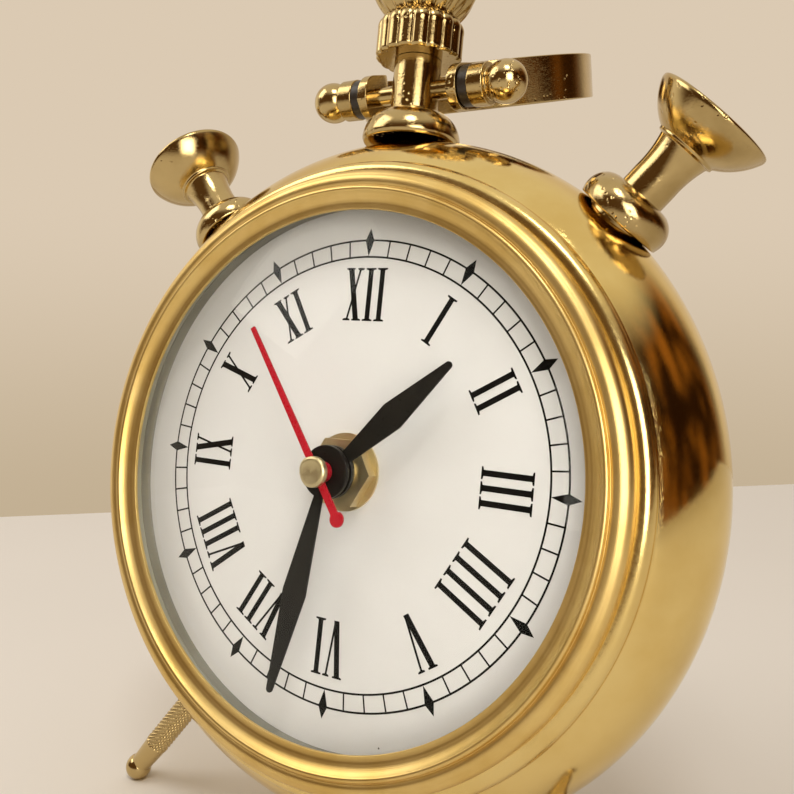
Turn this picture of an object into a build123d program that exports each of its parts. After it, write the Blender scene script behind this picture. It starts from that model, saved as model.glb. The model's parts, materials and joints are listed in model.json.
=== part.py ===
from build123d import *
import os
from math import atan2, cos, pi, radians, sin, sqrt, tan

# Table clock in the shape of a pocket stopwatch: a rounded brass drum on three ball-footed legs,
# with a fluted crown and bow on top and two flared push buttons at the shoulders.
# Clock frame: Y runs along the drum's axis into the clock, the dial's front face is y = 0, Z is towards XII.
# Millimetres. At the end the clock is leaned back and stood on its feet.

# Stance
lean_angle = 10.15
foot_flat_depth = 0.35

# Case drum, a rounded shell
case_max_radius = 68.4
case_mid_y = 12.5
case_bulge_radius = 18.25
case_wall = 1.0
case_front_edge_inset = 8.0
case_shoulder_inset = 2.1
case_shoulder_rise = 2.2
case_front_land = 2.8
case_rear_edge_inset = 14.4
case_rear_land = 4.5

# Front bezel
bezel_flange_overlap = 2.2
bezel_skirt_wall = 2.15
bezel_lip_width = 3.25
bezel_lip_thickness = 0.75
bezel_bead_spacing = 1.0
bezel_bead_height = 2.3
bezel_bead_half_width = 0.5
bezel_band_width = 1.8
bezel_band_edge = 1.2
bezel_band_height = 1.7
bezel_skirt_depth = 2.4
bezel_fit_gap = 0.1

# Domed crystal, its seal, the spacer ring and the dial
crystal_rim_gap = 0.25
crystal_thickness = 1.5
crystal_edge_height = 4.6
crystal_tip_clearance = 0.5
crystal_clearance = 0.08
ring_clearance = 0.1
seal_width = 1.1
seal_back_height = 2.4
spacer_width = 1.35
dial_thickness = 0.8
retainer_width = 2.4
retainer_thickness = 0.8

# Movement box, shaft bush, nut and washers
movement_size = 56.0
movement_depth = 15.0
movement_wall = 1.2
movement_lid_thickness = 1.2
battery_bay_height = 14.8
rear_washer_radius = 9.0
rear_washer_thickness = 1.0
bush_radius = 4.0
bush_bore_radius = 2.6
bush_flange_radius = 6.0
bush_flange_thickness = 1.0
bush_length = 4.1
thread_clearance = 0.05
front_washer_radius = 7.5
front_washer_thickness = 0.5
nut_width = 12.4
nut_thickness = 2.4

# Hands, their pipes and the time shown
running_clearance = 0.05
hub_radius = 5.0
hub_thickness = 1.1
hand_thickness = 0.5
hour_hand_height = 5.5
hour_hand_shortfall = 10.6
hour_hand_belly_radius = 16.9
hour_hand_belly_width = 5.5
hour_hand_root_width = 2.7
hour_hand_tip_width = 1.4
hour_pipe_wall = 0.8
hour_hand_angle = 47.3
minute_hand_height = 7.2
minute_hand_margin = 7.4
minute_hand_belly_radius = 23.3
minute_hand_belly_width = 5.3
minute_hand_root_width = 2.0
minute_hand_tip_width = 1.4
minute_pipe_wall = 0.95
minute_hand_angle = 190.5
second_hand_height = 10.0
second_hand_shortfall = 10.6
second_hand_width = 1.5
second_hand_tip_width = 1.0
second_hand_tail = 9.7
second_hand_tail_disc_radius = 1.45
second_hand_collar_radius = 2.1
second_hand_collar_length = 1.4
second_hand_angle = 325.0
cap_radius = 2.85
cap_thickness = 1.4
cap_grip = 0.7

# Gear train, shown as pitch discs
gear_thickness = 0.8
pinion_length = 1.6
pitch_gap = 0.1
arbor_radius = 0.5
pivot_gap = 0.05
pivot_depth = 0.6
second_pinion_teeth = 8
third_wheel_teeth = 60
third_pinion_teeth = 8
center_wheel_teeth = 64
minute_pinion_teeth = 12
motion_wheel_teeth = 36
motion_pinion_teeth = 10
hour_wheel_teeth = 40
second_wheel_teeth = 48
step_pinion_teeth = 8
step_wheel_teeth = 30
rotor_pinion_teeth = 6
third_distance = 9.0
third_direction = 60.0
motion_distance = 10.5
motion_direction = 270.0
step_distance = 9.2
step_direction = 328.0
rotor_distance = 5.5
rotor_magnet_radius = 2.4
rotor_magnet_length = 3.0
set_stem_radius = 0.9
set_knob_radius = 6.0
set_knob_thickness = 3.8
set_knob_gap = 0.6
set_knob_flutes = 16
hour_level_gap = 0.2
motion_level_gap = 0.2
center_level_gap = 0.8
third_level_gap = 0.9
second_level_gap = 0.5
step_level_overlap = 0.2
minute_pinion_lead = 0.2
second_pinion_lead = 0.3
third_pinion_lead = 0.4
motion_pinion_lead = 0.1
step_pinion_lead = 0.1
step_pinion_cut = 0.4
rotor_pinion_lead = 0.1

# Motor, board and battery
stator_thickness = 1.0
stator_hole_radius = 3.0
stator_width = 14.5
stator_core_room = 3.0
stator_core_width = 3.0
coil_end_room = 5.0
coil_size = 7.0
coil_wall_gap = 0.5
board_thickness = 1.0
board_length = 20.0
board_width = 10.0
board_standoff = 1.0
board_ledge = 1.5
board_left_of_third = 4.0
board_above_third = 6.0
battery_radius = 7.1
battery_end_room = 5.1
battery_nub_radius = 2.7
battery_nub_length = 1.4
contact_thickness = 0.4
contact_size = 11.0
contact_button_radius = 2.5

# Rear cover
rear_cover_inset = 0.5
rear_cover_thickness = 1.2
rear_window_border = 10.0
rear_spigot_width = 1.8
rear_spigot_depth = 1.8
rear_screw_radius = 1.25
rear_screw_head_radius = 2.1
rear_screw_head_height = 1.1
rear_screw_length = 3.0
rear_screw_count = 4

# Push buttons at the shoulders
button_angle = 42.0
button_travel = 3.0
button_stem_radius = 4.5
button_stem_waist = 0.2
button_rim_radius = 11.7
button_rim_thickness = 1.0
button_stem_length = 10.4
button_head_height = 7.7
button_dish_depth = 2.0
button_dish_floor_radius = 3.0
button_tail_radius = 2.0
button_tail_length = 18.0
button_guide_depth = 5.6
bush_foot_radius = 8.7
bush_swell = 0.3
bush_dome_height = 6.2
bush_dome_top_width = 0.7
bush_shank_wall = 1.45
bush_shank_length = 14.2
bush_floor = 2.0
button_nut_width = 2.15
button_nut_thickness = 2.5
button_spring_wire = 1.0
button_spring_gap = 0.6
clip_width = 1.6
clip_thickness = 0.8

# Neck, crown and bow
stud_radius = 2.5
stud_inner_length = 8.0
neck_flange_radius = 10.3
neck_flange_rim = 0.8
neck_flange_height = 7.0
neck_tube_radius = 5.0
neck_tube_length = 11.25
neck_nut_radius = 5.0
neck_nut_thickness = 3.0
crown_gap = 0.1
collar_radius = 9.2
collar_height = 9.0
collar_shoulder_height = 3.2
collar_top_radius = 7.0
collar_flutes = 18
collar_flute_radius = 1.1
crown_radius = 11.7
crown_seat_radius = 7.0
crown_top_radius = 5.2
crown_button_radius = 2.6
crown_button_height = 1.6
crown_flutes = 14
crown_flute_radius = 1.5
crown_flute_depth = 0.85
crown_bore_depth = 12.0
bow_pivot_height = 4.6
bow_ring_radius = 25.95
bow_ring_rise = 3.55
bow_thickness = 2.1
bow_width = 9.6
bow_ear_offset = 10.65
bow_ear_overhang = 4.8
bow_ear_rounding = 4.5
bow_bend_radius = 3.0
bow_fold_angle = 68.0
bow_screw_radius = 2.0
bow_screw_grip = 1.8
bow_washer_thickness = 2.0
bow_washer_radius = 4.15
bow_side_gap = 0.2
bow_collar_radius = 4.35
bow_collar_length = 3.5
bow_groove_radius = 3.2
bow_groove_length = 0.5
bow_ball_radius = 4.4

# Legs
leg_angle = 142.0
leg_knurl_radius = 2.7
leg_length = 26.4
leg_tip_length = 8.1
leg_ankle_radius = 2.3
leg_ball_radius = 2.9
leg_stud_radius = 2.0
leg_stud_length = 8.0
leg_hole_clearance = 0.1
leg_nut_radius = 3.6
leg_nut_thickness = 2.4
rear_leg_position = 62.0

# Radii that follow from the case's largest one, step by step inwards
case_front_edge_radius = case_max_radius - case_front_edge_inset
case_shoulder_radius = case_front_edge_radius - case_shoulder_inset
case_front_opening_radius = case_shoulder_radius - case_front_land
case_rear_edge_radius = case_max_radius - case_rear_edge_inset
case_rear_opening_radius = case_rear_edge_radius - case_rear_land
bezel_outer_radius = case_front_opening_radius + bezel_flange_overlap
bezel_band_outer_radius = bezel_outer_radius - bezel_band_edge
bezel_band_inner_radius = bezel_band_outer_radius - bezel_band_width
bezel_bead_radius_position = bezel_band_inner_radius - bezel_bead_spacing
bezel_seat_radius = case_front_opening_radius - bezel_fit_gap - bezel_skirt_wall
bezel_inner_radius = bezel_seat_radius - bezel_lip_width
crystal_radius = bezel_seat_radius - crystal_rim_gap
insert_radius = bezel_seat_radius - ring_clearance
minute_hand_length = bezel_inner_radius - minute_hand_margin
hour_hand_length = minute_hand_length - hour_hand_shortfall
second_hand_length = minute_hand_length - second_hand_shortfall
rear_cover_radius = case_rear_edge_radius - rear_cover_inset
rear_screw_circle = (case_rear_edge_radius + case_rear_opening_radius) / 2

# Derived sizes
bulge_center_radius = case_max_radius - case_bulge_radius
inner_bulge_radius = case_bulge_radius - case_wall


def bulge_depth(radius, bulge=case_bulge_radius):
    """Distance along the drum's axis from its middle to where its round side has this radius."""
    return sqrt(bulge ** 2 - (radius - bulge_center_radius) ** 2)


def bulge_reach(offset):
    """Radius of the inside of the round side at this distance along the axis from its middle."""
    return bulge_center_radius + sqrt(inner_bulge_radius ** 2 - offset ** 2)


case_front_y = case_mid_y - bulge_depth(case_front_edge_radius) - case_shoulder_rise
case_rear_y = case_mid_y + bulge_depth(case_rear_edge_radius)

# The crystal is a sphere through its rim that clears the tip of the minute hand
crystal_tip_height = minute_hand_height + crystal_tip_clearance + crystal_thickness
crystal_rim_square = crystal_radius ** 2 + crystal_edge_height ** 2
crystal_tip_square = minute_hand_length ** 2 + crystal_tip_height ** 2
crystal_center = (crystal_tip_square - crystal_rim_square) / (2 * (crystal_tip_height - crystal_edge_height))
crystal_outer_sphere = sqrt(crystal_radius ** 2 + (crystal_edge_height - crystal_center) ** 2)
crystal_inner_sphere = crystal_outer_sphere - crystal_thickness
crystal_apex_height = crystal_center + crystal_outer_sphere
movement_front_y = dial_thickness + rear_washer_thickness
movement_floor_y = movement_front_y + movement_wall
movement_back_y = movement_front_y + movement_depth
bay_floor_z = -movement_size / 2 + movement_wall
bay_top_z = bay_floor_z + battery_bay_height
chamber_low_z = bay_top_z + movement_wall
hour_pipe_radius = bush_bore_radius - running_clearance
hour_bore_radius = hour_pipe_radius - hour_pipe_wall
minute_pipe_radius = hour_bore_radius - running_clearance
minute_bore_radius = minute_pipe_radius - minute_pipe_wall
second_arbor_radius = minute_bore_radius - running_clearance


def pitch_radius(distance, teeth, mate_teeth):
    """Radius of a gear's pitch disc, less half the running gap, from its axis distance and tooth counts."""
    return distance * teeth / (teeth + mate_teeth) - pitch_gap / 2


def sphere_height(radius, sphere, apex):
    """Height in front of the dial of a sphere with this apex height."""
    return apex - sphere + sqrt(sphere ** 2 - radius ** 2)


def point(radius, along):
    return Vector(radius, 0, along)


def outline(start, *steps):
    """Closed face in the XZ plane. A step is a point, or a pair of points for an arc through the first."""
    edges = []
    here = start
    for step in steps:
        if isinstance(step[0], tuple):
            middle, end = step
            edges.append(ThreePointArc(point(*here), point(*middle), point(*end)))
        else:
            end = step
            edges.append(Line(point(*here), point(*end)))
        here = end
    if here != start:
        edges.append(Line(point(*here), point(*start)))
    return make_face(edges)


def turned(start, *steps):
    """Solid turned about Z from a closed outline of (radius, height) points."""
    return revolve(outline(start, *steps), Axis.Z)


def ring(inner, outer, low, high):
    """Flat ring about Z."""
    return turned((inner, low), (outer, low), (outer, high), (inner, high))


def disc(radius, low, high):
    """Round bar about Z."""
    return Pos(0, 0, low) * Cylinder(radius, high - low, align=(Align.CENTER, Align.CENTER, Align.MIN))


def axial(shape):
    """Turns a shape made about Z so that it runs along the drum's axis, Z becoming Y."""
    return Rot(-90, 0, 0) * shape


def radial(shape, clock_angle):
    """Turns a shape made about Z so that it stands out of the drum at this angle clockwise from XII."""
    return Pos(0, case_mid_y, 0) * Rot(0, clock_angle, 0) * shape


def block(low, high):
    """Box between two corners."""
    size = [b - a for a, b in zip(low, high)]
    middle = [(a + b) / 2 for a, b in zip(low, high)]
    return Pos(*middle) * Box(*size)


def dial_place(distance, clock_angle):
    """Place in the dial plane at this distance and angle clockwise from XII."""
    angle = radians(clock_angle)
    return Pos(distance * sin(angle), 0, distance * cos(angle))


# Seats of what stands on the round side: a flat underside rests on the rim of its hole
def outer_seat(hole_radius):
    return sqrt(case_max_radius ** 2 - hole_radius ** 2)


def inner_seat(nut_radius):
    return bulge_reach(nut_radius)


button_bore_radius = button_stem_radius + running_clearance
bush_shank_radius = button_bore_radius + bush_shank_wall
button_hole_radius = bush_shank_radius + ring_clearance
button_seat = outer_seat(button_hole_radius)
stud_hole_radius = stud_radius + ring_clearance
neck_seat = outer_seat(stud_hole_radius)
leg_hole_radius = leg_stud_radius + leg_hole_clearance
leg_seat = outer_seat(leg_hole_radius)
neck_tube_base = neck_seat + neck_flange_height
neck_top = neck_tube_base + neck_tube_length
bow_pivot = neck_tube_base + bow_pivot_height
collar_base = neck_top + crown_gap
crown_base = collar_base + collar_height
crown_center = crown_base + sqrt(crown_radius ** 2 - crown_seat_radius ** 2)
crown_top = crown_center + sqrt(crown_radius ** 2 - crown_top_radius ** 2)
stud_end = crown_base + crown_bore_depth - ring_clearance

# The rear leg stands square to the round side, and is as long as the lean needs
rear_leg_sin = sin(radians(rear_leg_position))
rear_leg_cos = cos(radians(rear_leg_position))
lean_slope = tan(radians(lean_angle))
front_ball_z = (leg_seat + leg_length) * cos(radians(leg_angle))
rear_hoop_radius = case_bulge_radius + bulge_center_radius / rear_leg_cos
rear_seat_sink = rear_hoop_radius - sqrt(rear_hoop_radius ** 2 - leg_hole_radius ** 2)
rear_seat_radius = case_bulge_radius - rear_seat_sink
rear_foot_z = -bulge_center_radius - rear_seat_radius * rear_leg_cos
rear_foot_rise = front_ball_z + rear_seat_radius * rear_leg_sin * lean_slope
rear_leg_length = (rear_foot_z - rear_foot_rise) / (rear_leg_cos + rear_leg_sin * lean_slope)


def case_shell():
    """Drum with rounded sides, open at the front for the bezel and at the rear for its cover."""
    front_inner_y = case_front_y + case_wall
    rear_inner_y = case_rear_y - case_wall
    edge_y = case_front_y + case_shoulder_rise
    lip_mid = (case_front_edge_radius - 0.3 * (case_front_edge_radius - case_shoulder_radius),
               case_front_y + 0.28 * case_shoulder_rise)
    shell = turned(
        (case_front_opening_radius, case_front_y),
        (case_shoulder_radius, case_front_y),
        (lip_mid, (case_front_edge_radius, edge_y)),
        ((case_max_radius, case_mid_y), (case_rear_edge_radius, case_rear_y)),
        (case_rear_opening_radius, case_rear_y),
        (case_rear_opening_radius, rear_inner_y),
        (bulge_reach(rear_inner_y - case_mid_y), rear_inner_y),
        ((case_max_radius - case_wall, case_mid_y), (bulge_reach(front_inner_y - case_mid_y), front_inner_y)),
        (case_front_opening_radius, front_inner_y),
    )
    hole_low = bulge_center_radius
    hole_high = case_max_radius + case_wall
    holes = [radial(disc(stud_hole_radius, hole_low, hole_high), 0)]
    for side in (-1, 1):
        holes.append(radial(disc(button_hole_radius, hole_low, hole_high), side * button_angle))
        holes.append(radial(disc(leg_hole_radius, hole_low, hole_high), side * leg_angle))
    holes.append(rear_leg_place() * disc(leg_hole_radius, -3 * case_wall, 3 * case_wall))
    for place in rear_screw_places():
        holes.append(place * axial(disc(rear_screw_radius + thread_clearance, -3 * case_wall, case_wall)))
    return axial(shell) - holes


def front_bezel():
    """Moulded ring: a lip over the crystal, a cove, a bead, a flat band and a rounded edge, with a skirt."""
    lip_inner = sphere_height(bezel_inner_radius, crystal_outer_sphere, crystal_apex_height)
    lip_inner += crystal_clearance
    lip_outer = sphere_height(bezel_seat_radius, crystal_outer_sphere, crystal_apex_height)
    lip_outer += crystal_clearance
    lip_front = lip_inner + bezel_lip_thickness
    bead_top = lip_inner + bezel_bead_height
    band_top = lip_inner + bezel_band_height
    bead_in = bezel_bead_radius_position - bezel_bead_half_width
    bead_out = bezel_bead_radius_position + bezel_bead_half_width
    bead_foot = band_top - 0.1 * bezel_band_height
    cove_mid = (bezel_inner_radius + 0.62 * (bead_in - bezel_inner_radius),
                lip_front + 0.28 * (bead_top - lip_front))
    band_mid = ((bezel_band_inner_radius + bezel_band_outer_radius) / 2, band_top + 0.1 * bezel_band_height)
    edge_mid = (bezel_outer_radius - 0.25 * (bezel_outer_radius - bezel_band_outer_radius),
                lip_inner + 0.5 * bezel_band_height)
    skirt_radius = case_front_opening_radius - bezel_fit_gap
    flange_height = -case_front_y
    ring_solid = turned(
        (bezel_inner_radius, lip_inner),
        (bezel_inner_radius, lip_front),
        (cove_mid, (bead_in, bead_top - 0.5 * bezel_bead_half_width)),
        ((bezel_bead_radius_position, bead_top), (bead_out, bead_top - 0.6 * bezel_bead_half_width)),
        (bead_out + 0.4 * (bezel_band_inner_radius - bead_out), bead_foot),
        (bezel_band_inner_radius, band_top),
        (band_mid, (bezel_band_outer_radius, band_top - 0.1 * bezel_band_height)),
        (edge_mid, (bezel_outer_radius, lip_inner)),
        (bezel_outer_radius, flange_height),
        (skirt_radius, flange_height),
        (skirt_radius, -bezel_skirt_depth),
        (bezel_seat_radius, -bezel_skirt_depth),
        (bezel_seat_radius, lip_outer),
    )
    return Rot(90, 0, 0) * ring_solid


def crystal():
    """Domed glass of even thickness."""
    outer_mid_radius = crystal_radius / 2
    inner_apex = crystal_apex_height - crystal_thickness
    inner_edge = sphere_height(crystal_radius, crystal_inner_sphere, inner_apex)
    dome = turned(
        (0, inner_apex),
        (0, crystal_apex_height),
        ((outer_mid_radius, sphere_height(outer_mid_radius, crystal_outer_sphere, crystal_apex_height)),
         (crystal_radius, crystal_edge_height)),
        (crystal_radius, inner_edge),
        ((outer_mid_radius, sphere_height(outer_mid_radius, crystal_inner_sphere, inner_apex)),
         (0, inner_apex)),
    )
    return Rot(90, 0, 0) * dome


def crystal_seal():
    """Soft ring between the crystal's edge and the spacer."""
    inner = crystal_radius - seal_width
    inner_apex = crystal_apex_height - crystal_thickness
    seal = turned(
        (inner, seal_back_height),
        (crystal_radius, seal_back_height),
        (crystal_radius, sphere_height(crystal_radius, crystal_inner_sphere, inner_apex)),
        (inner, sphere_height(inner, crystal_inner_sphere, inner_apex)),
    )
    return Rot(90, 0, 0) * seal


def dial_spacer_ring():
    return axial(ring(insert_radius - spacer_width, insert_radius, -seal_back_height, 0))


def dial_plate():
    return axial(ring(bush_radius + ring_clearance, insert_radius, 0, dial_thickness))


def dial_retainer():
    low = dial_thickness
    return axial(ring(insert_radius - retainer_width, insert_radius, low, low + retainer_thickness))


def rear_washer():
    return axial(ring(bush_radius + ring_clearance, rear_washer_radius, dial_thickness, movement_front_y))


def center_bush():
    """Threaded bush, flanged behind the movement's front wall."""
    flange_back = movement_floor_y + bush_flange_thickness
    tube = ring(bush_bore_radius, bush_radius, -bush_length, flange_back)
    return axial(tube + ring(bush_bore_radius, bush_flange_radius, movement_floor_y, flange_back))


def front_washer():
    return axial(ring(bush_radius + thread_clearance, front_washer_radius, -front_washer_thickness, 0))


def shaft_nut():
    """Hexagon nut, a corner towards III."""
    high = -front_washer_thickness
    nut = extrude(RegularPolygon(nut_width / 2, 6, major_radius=False), nut_thickness)
    nut = Pos(0, 0, high - nut_thickness) * nut
    return axial(nut - disc(bush_radius + thread_clearance, high - 2 * nut_thickness, high + nut_thickness))


def hand_plate(length, belly_radius, belly_width, root_width, tip_width, angle, height):
    """Kite-shaped hand with a round hub, before its pipe hole is cut."""
    tip = tip_width / 2
    edges = [
        Line((-root_width / 2, 0), (-root_width / 2, hub_radius)),
        Line((-root_width / 2, hub_radius), (-belly_width / 2, belly_radius)),
        Line((-belly_width / 2, belly_radius), (-tip, length - tip)),
        ThreePointArc((-tip, length - tip), (0, length), (tip, length - tip)),
        Line((tip, length - tip), (belly_width / 2, belly_radius)),
        Line((belly_width / 2, belly_radius), (root_width / 2, hub_radius)),
        Line((root_width / 2, hub_radius), (root_width / 2, 0)),
        Line((root_width / 2, 0), (-root_width / 2, 0)),
    ]
    plate = extrude(Plane.XZ * make_face(edges), -hand_thickness)
    plate = Pos(0, -height, 0) * plate
    hub = axial(disc(hub_radius, -height, hub_thickness - height))
    return Rot(0, angle, 0) * (plate + hub)


def hour_hand():
    hand = hand_plate(hour_hand_length, hour_hand_belly_radius, hour_hand_belly_width,
                      hour_hand_root_width, hour_hand_tip_width, hour_hand_angle, hour_hand_height)
    return hand - axial(disc(hour_pipe_radius, -2 * hour_hand_height, hour_hand_height))


def minute_hand():
    hand = hand_plate(minute_hand_length, minute_hand_belly_radius, minute_hand_belly_width,
                      minute_hand_root_width, minute_hand_tip_width, minute_hand_angle, minute_hand_height)
    return hand - axial(disc(minute_pipe_radius, -2 * minute_hand_height, minute_hand_height))


def second_hand():
    """Thin tapered hand with a round counterweight and a collar on the arbor."""
    half = second_hand_width / 2
    tip = second_hand_tip_width / 2
    edges = [
        Line((-half, -second_hand_tail), (-half, 0)),
        Line((-half, 0), (-tip, second_hand_length)),
        Line((-tip, second_hand_length), (tip, second_hand_length)),
        Line((tip, second_hand_length), (half, 0)),
        Line((half, 0), (half, -second_hand_tail)),
        Line((half, -second_hand_tail), (-half, -second_hand_tail)),
    ]
    face = make_face(edges) + Pos(0, -second_hand_tail) * Circle(second_hand_tail_disc_radius)
    plate = extrude(Plane.XZ * face, -hand_thickness)
    plate = Rot(0, second_hand_angle, 0) * (Pos(0, -second_hand_height, 0) * plate)
    collar_back = second_hand_collar_length - second_hand_height
    collar = disc(second_hand_collar_radius, -second_hand_height, collar_back)
    arbor_hole = disc(second_arbor_radius, -2 * second_hand_height, second_hand_height)
    return plate + axial(collar) - axial(arbor_hole)


def second_hand_cap():
    """Brass cap pressed on the end of the arbor."""
    low = second_hand_height
    edge = low + 0.75 * cap_thickness
    cap = turned(
        (0, low + cap_grip),
        (0, low + cap_thickness),
        (0.8 * cap_radius, low + cap_thickness),
        (cap_radius, edge),
        (cap_radius, low),
        (second_arbor_radius, low),
        (second_arbor_radius, low + cap_grip),
    )
    return Rot(90, 0, 0) * cap


# Levels of the gear train behind the movement's front wall
hour_wheel_y = movement_floor_y + bush_flange_thickness + hour_level_gap
motion_wheel_y = hour_wheel_y + pinion_length + motion_level_gap
center_wheel_y = motion_wheel_y + pinion_length + center_level_gap
third_wheel_y = center_wheel_y + pinion_length + third_level_gap
second_wheel_y = third_wheel_y + pinion_length + second_level_gap
step_wheel_y = second_wheel_y + pinion_length - step_level_overlap
arbor_front_y = movement_floor_y - pivot_depth + pivot_gap
arbor_back_y = movement_back_y + pivot_depth - pivot_gap


def hour_wheel():
    """Hour wheel and its pipe."""
    low = hour_wheel_y
    wheel_radius = pitch_radius(motion_distance, hour_wheel_teeth, motion_pinion_teeth)
    wheel = disc(wheel_radius, low, low + gear_thickness)
    pipe = disc(hour_pipe_radius, -hour_hand_height, low + gear_thickness)
    return axial(wheel + pipe - disc(hour_bore_radius, -2 * hour_hand_height, movement_back_y))


def center_wheel():
    """Minute wheel, its pinion and the pipe that carries the minute hand."""
    pinion = disc(pitch_radius(motion_distance, minute_pinion_teeth, motion_wheel_teeth),
                  motion_wheel_y - minute_pinion_lead, motion_wheel_y + pinion_length)
    wheel = disc(pitch_radius(third_distance, center_wheel_teeth, third_pinion_teeth),
                 center_wheel_y, center_wheel_y + gear_thickness)
    pipe = disc(minute_pipe_radius, -minute_hand_height, center_wheel_y + gear_thickness)
    return axial(pinion + wheel + pipe - disc(minute_bore_radius, -2 * minute_hand_height, movement_back_y))


def seconds_wheel():
    """Seconds wheel, its pinion and the arbor that carries the second hand."""
    pinion = disc(pitch_radius(third_distance, second_pinion_teeth, third_wheel_teeth),
                  third_wheel_y - second_pinion_lead, third_wheel_y + pinion_length)
    wheel = disc(pitch_radius(step_distance, second_wheel_teeth, step_pinion_teeth),
                 second_wheel_y, second_wheel_y + gear_thickness)
    arbor = disc(second_arbor_radius, -second_hand_height - cap_grip, arbor_back_y)
    return axial(pinion + wheel + arbor)


def third_wheel():
    wheel = disc(pitch_radius(third_distance, third_wheel_teeth, second_pinion_teeth),
                 third_wheel_y, third_wheel_y + gear_thickness)
    pinion = disc(pitch_radius(third_distance, third_pinion_teeth, center_wheel_teeth),
                  center_wheel_y - third_pinion_lead, center_wheel_y + pinion_length)
    arbor = disc(arbor_radius, arbor_front_y, arbor_back_y)
    return dial_place(third_distance, third_direction) * axial(wheel + pinion + arbor)


def motion_wheel():
    """Reversing wheel between the minute pinion and the hour wheel; its stem reaches the setting knob."""
    wheel = disc(pitch_radius(motion_distance, motion_wheel_teeth, minute_pinion_teeth),
                 motion_wheel_y, motion_wheel_y + gear_thickness)
    pinion = disc(pitch_radius(motion_distance, motion_pinion_teeth, hour_wheel_teeth),
                  hour_wheel_y - motion_pinion_lead, hour_wheel_y + pinion_length)
    stem = disc(set_stem_radius, arbor_front_y, set_knob_y + set_knob_thickness)
    return dial_place(motion_distance, motion_direction) * axial(wheel + pinion + stem)


set_knob_y = movement_back_y + movement_lid_thickness + set_knob_gap


def set_knob():
    """Knurled knob at the back that sets the hands."""
    knob = disc(set_knob_radius, set_knob_y, set_knob_y + set_knob_thickness)
    notch_radius = pi * set_knob_radius / set_knob_flutes / 2.4
    for place in PolarLocations(set_knob_radius, set_knob_flutes):
        knob -= place * disc(notch_radius, set_knob_y - 1, set_knob_y + set_knob_thickness + 1)
    knob -= disc(set_stem_radius, set_knob_y - 1, set_knob_y + set_knob_thickness + 1)
    return dial_place(motion_distance, motion_direction) * axial(knob)


def step_place():
    return dial_place(step_distance, step_direction)


def rotor_place():
    return step_place() * Pos(0, 0, rotor_distance)


def arbor_places():
    """Places of the arbors that run between the tray's floor and the lid."""
    return [dial_place(third_distance, third_direction), step_place(), rotor_place()]


def step_wheel():
    """Wheel between the motor's rotor and the seconds wheel."""
    pinion = disc(pitch_radius(step_distance, step_pinion_teeth, second_wheel_teeth),
                  second_wheel_y - step_pinion_lead, second_wheel_y + pinion_length - step_pinion_cut)
    wheel = disc(pitch_radius(rotor_distance, step_wheel_teeth, rotor_pinion_teeth),
                 step_wheel_y, step_wheel_y + gear_thickness)
    arbor = disc(arbor_radius, arbor_front_y, arbor_back_y)
    return step_place() * axial(pinion + wheel + arbor)


def rotor():
    """Magnet of the stepping motor on its arbor, with a pinion."""
    magnet_y = second_wheel_y - rotor_magnet_length
    pinion = disc(pitch_radius(rotor_distance, rotor_pinion_teeth, step_wheel_teeth),
                  step_wheel_y - rotor_pinion_lead, step_wheel_y + gear_thickness + rotor_pinion_lead)
    magnet = disc(rotor_magnet_radius, magnet_y, magnet_y + rotor_magnet_length)
    arbor = disc(arbor_radius, arbor_front_y, arbor_back_y)
    return rotor_place() * axial(pinion + magnet + arbor)


# Motor layout: the stator's plate round the rotor, its core running right through the coil
rotor_at = rotor_place().position
stator_y = second_wheel_y - rotor_magnet_length / 2 - stator_thickness / 2
stator_left_x = rotor_at.X - stator_width + stator_hole_radius + 1.5
stator_right_x = stator_left_x + stator_width
stator_low_z = rotor_at.Z - stator_hole_radius - 0.6
stator_top_z = movement_size / 2 - movement_wall - coil_wall_gap - coil_size / 2 + stator_core_width / 2
core_z = stator_top_z - stator_core_width
stator_core_length = movement_size / 2 - stator_core_room
coil_length = stator_core_length - coil_end_room
core_end_x = stator_right_x + stator_core_length
post_radius = 1.2
post_places = ((stator_left_x + 2, stator_top_z - 2), (core_end_x - 1.5, core_z + stator_core_width / 2))


def stator():
    back_y = stator_y + stator_thickness
    plate = block((stator_left_x, stator_y, stator_low_z), (stator_right_x, back_y, stator_top_z))
    core = block((stator_right_x, stator_y, core_z), (core_end_x, back_y, core_z + stator_core_width))
    return plate + core - rotor_place() * axial(disc(stator_hole_radius, stator_y - 1, back_y + 1))


def coil():
    """Winding round the stator's core."""
    low_x = stator_right_x + 1
    mid_y = stator_y + stator_thickness / 2
    mid_z = core_z + stator_core_width / 2
    half = coil_size / 2
    winding = block((low_x, mid_y - half, mid_z - half), (low_x + coil_length, mid_y + half, mid_z + half))
    hole_y = stator_thickness / 2
    hole_z = stator_core_width / 2
    tunnel = block((low_x - 1, mid_y - hole_y, mid_z - hole_z),
                   (low_x + coil_length + 1, mid_y + hole_y, mid_z + hole_z))
    return winding - tunnel


board_low_x = third_distance * sin(radians(third_direction)) - board_left_of_third
board_low_z = third_distance * cos(radians(third_direction)) + board_above_third
board_y = movement_floor_y + board_standoff


def circuit_board():
    return block((board_low_x, board_y, board_low_z),
                 (board_low_x + board_length, board_y + board_thickness, board_low_z + board_width))


battery_z = (bay_floor_z + bay_top_z) / 2
battery_y = movement_floor_y + battery_radius + ring_clearance
battery_length = movement_size - 2 * movement_wall - battery_end_room
battery_half = battery_length / 2


def battery():
    """Round dry cell along X, its positive button to the right."""
    cell = disc(battery_radius, -battery_half, battery_half)
    cell += disc(battery_nub_radius, battery_half, battery_half + battery_nub_length)
    return Pos(0, battery_y, battery_z) * Rot(0, 90, 0) * cell


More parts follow.
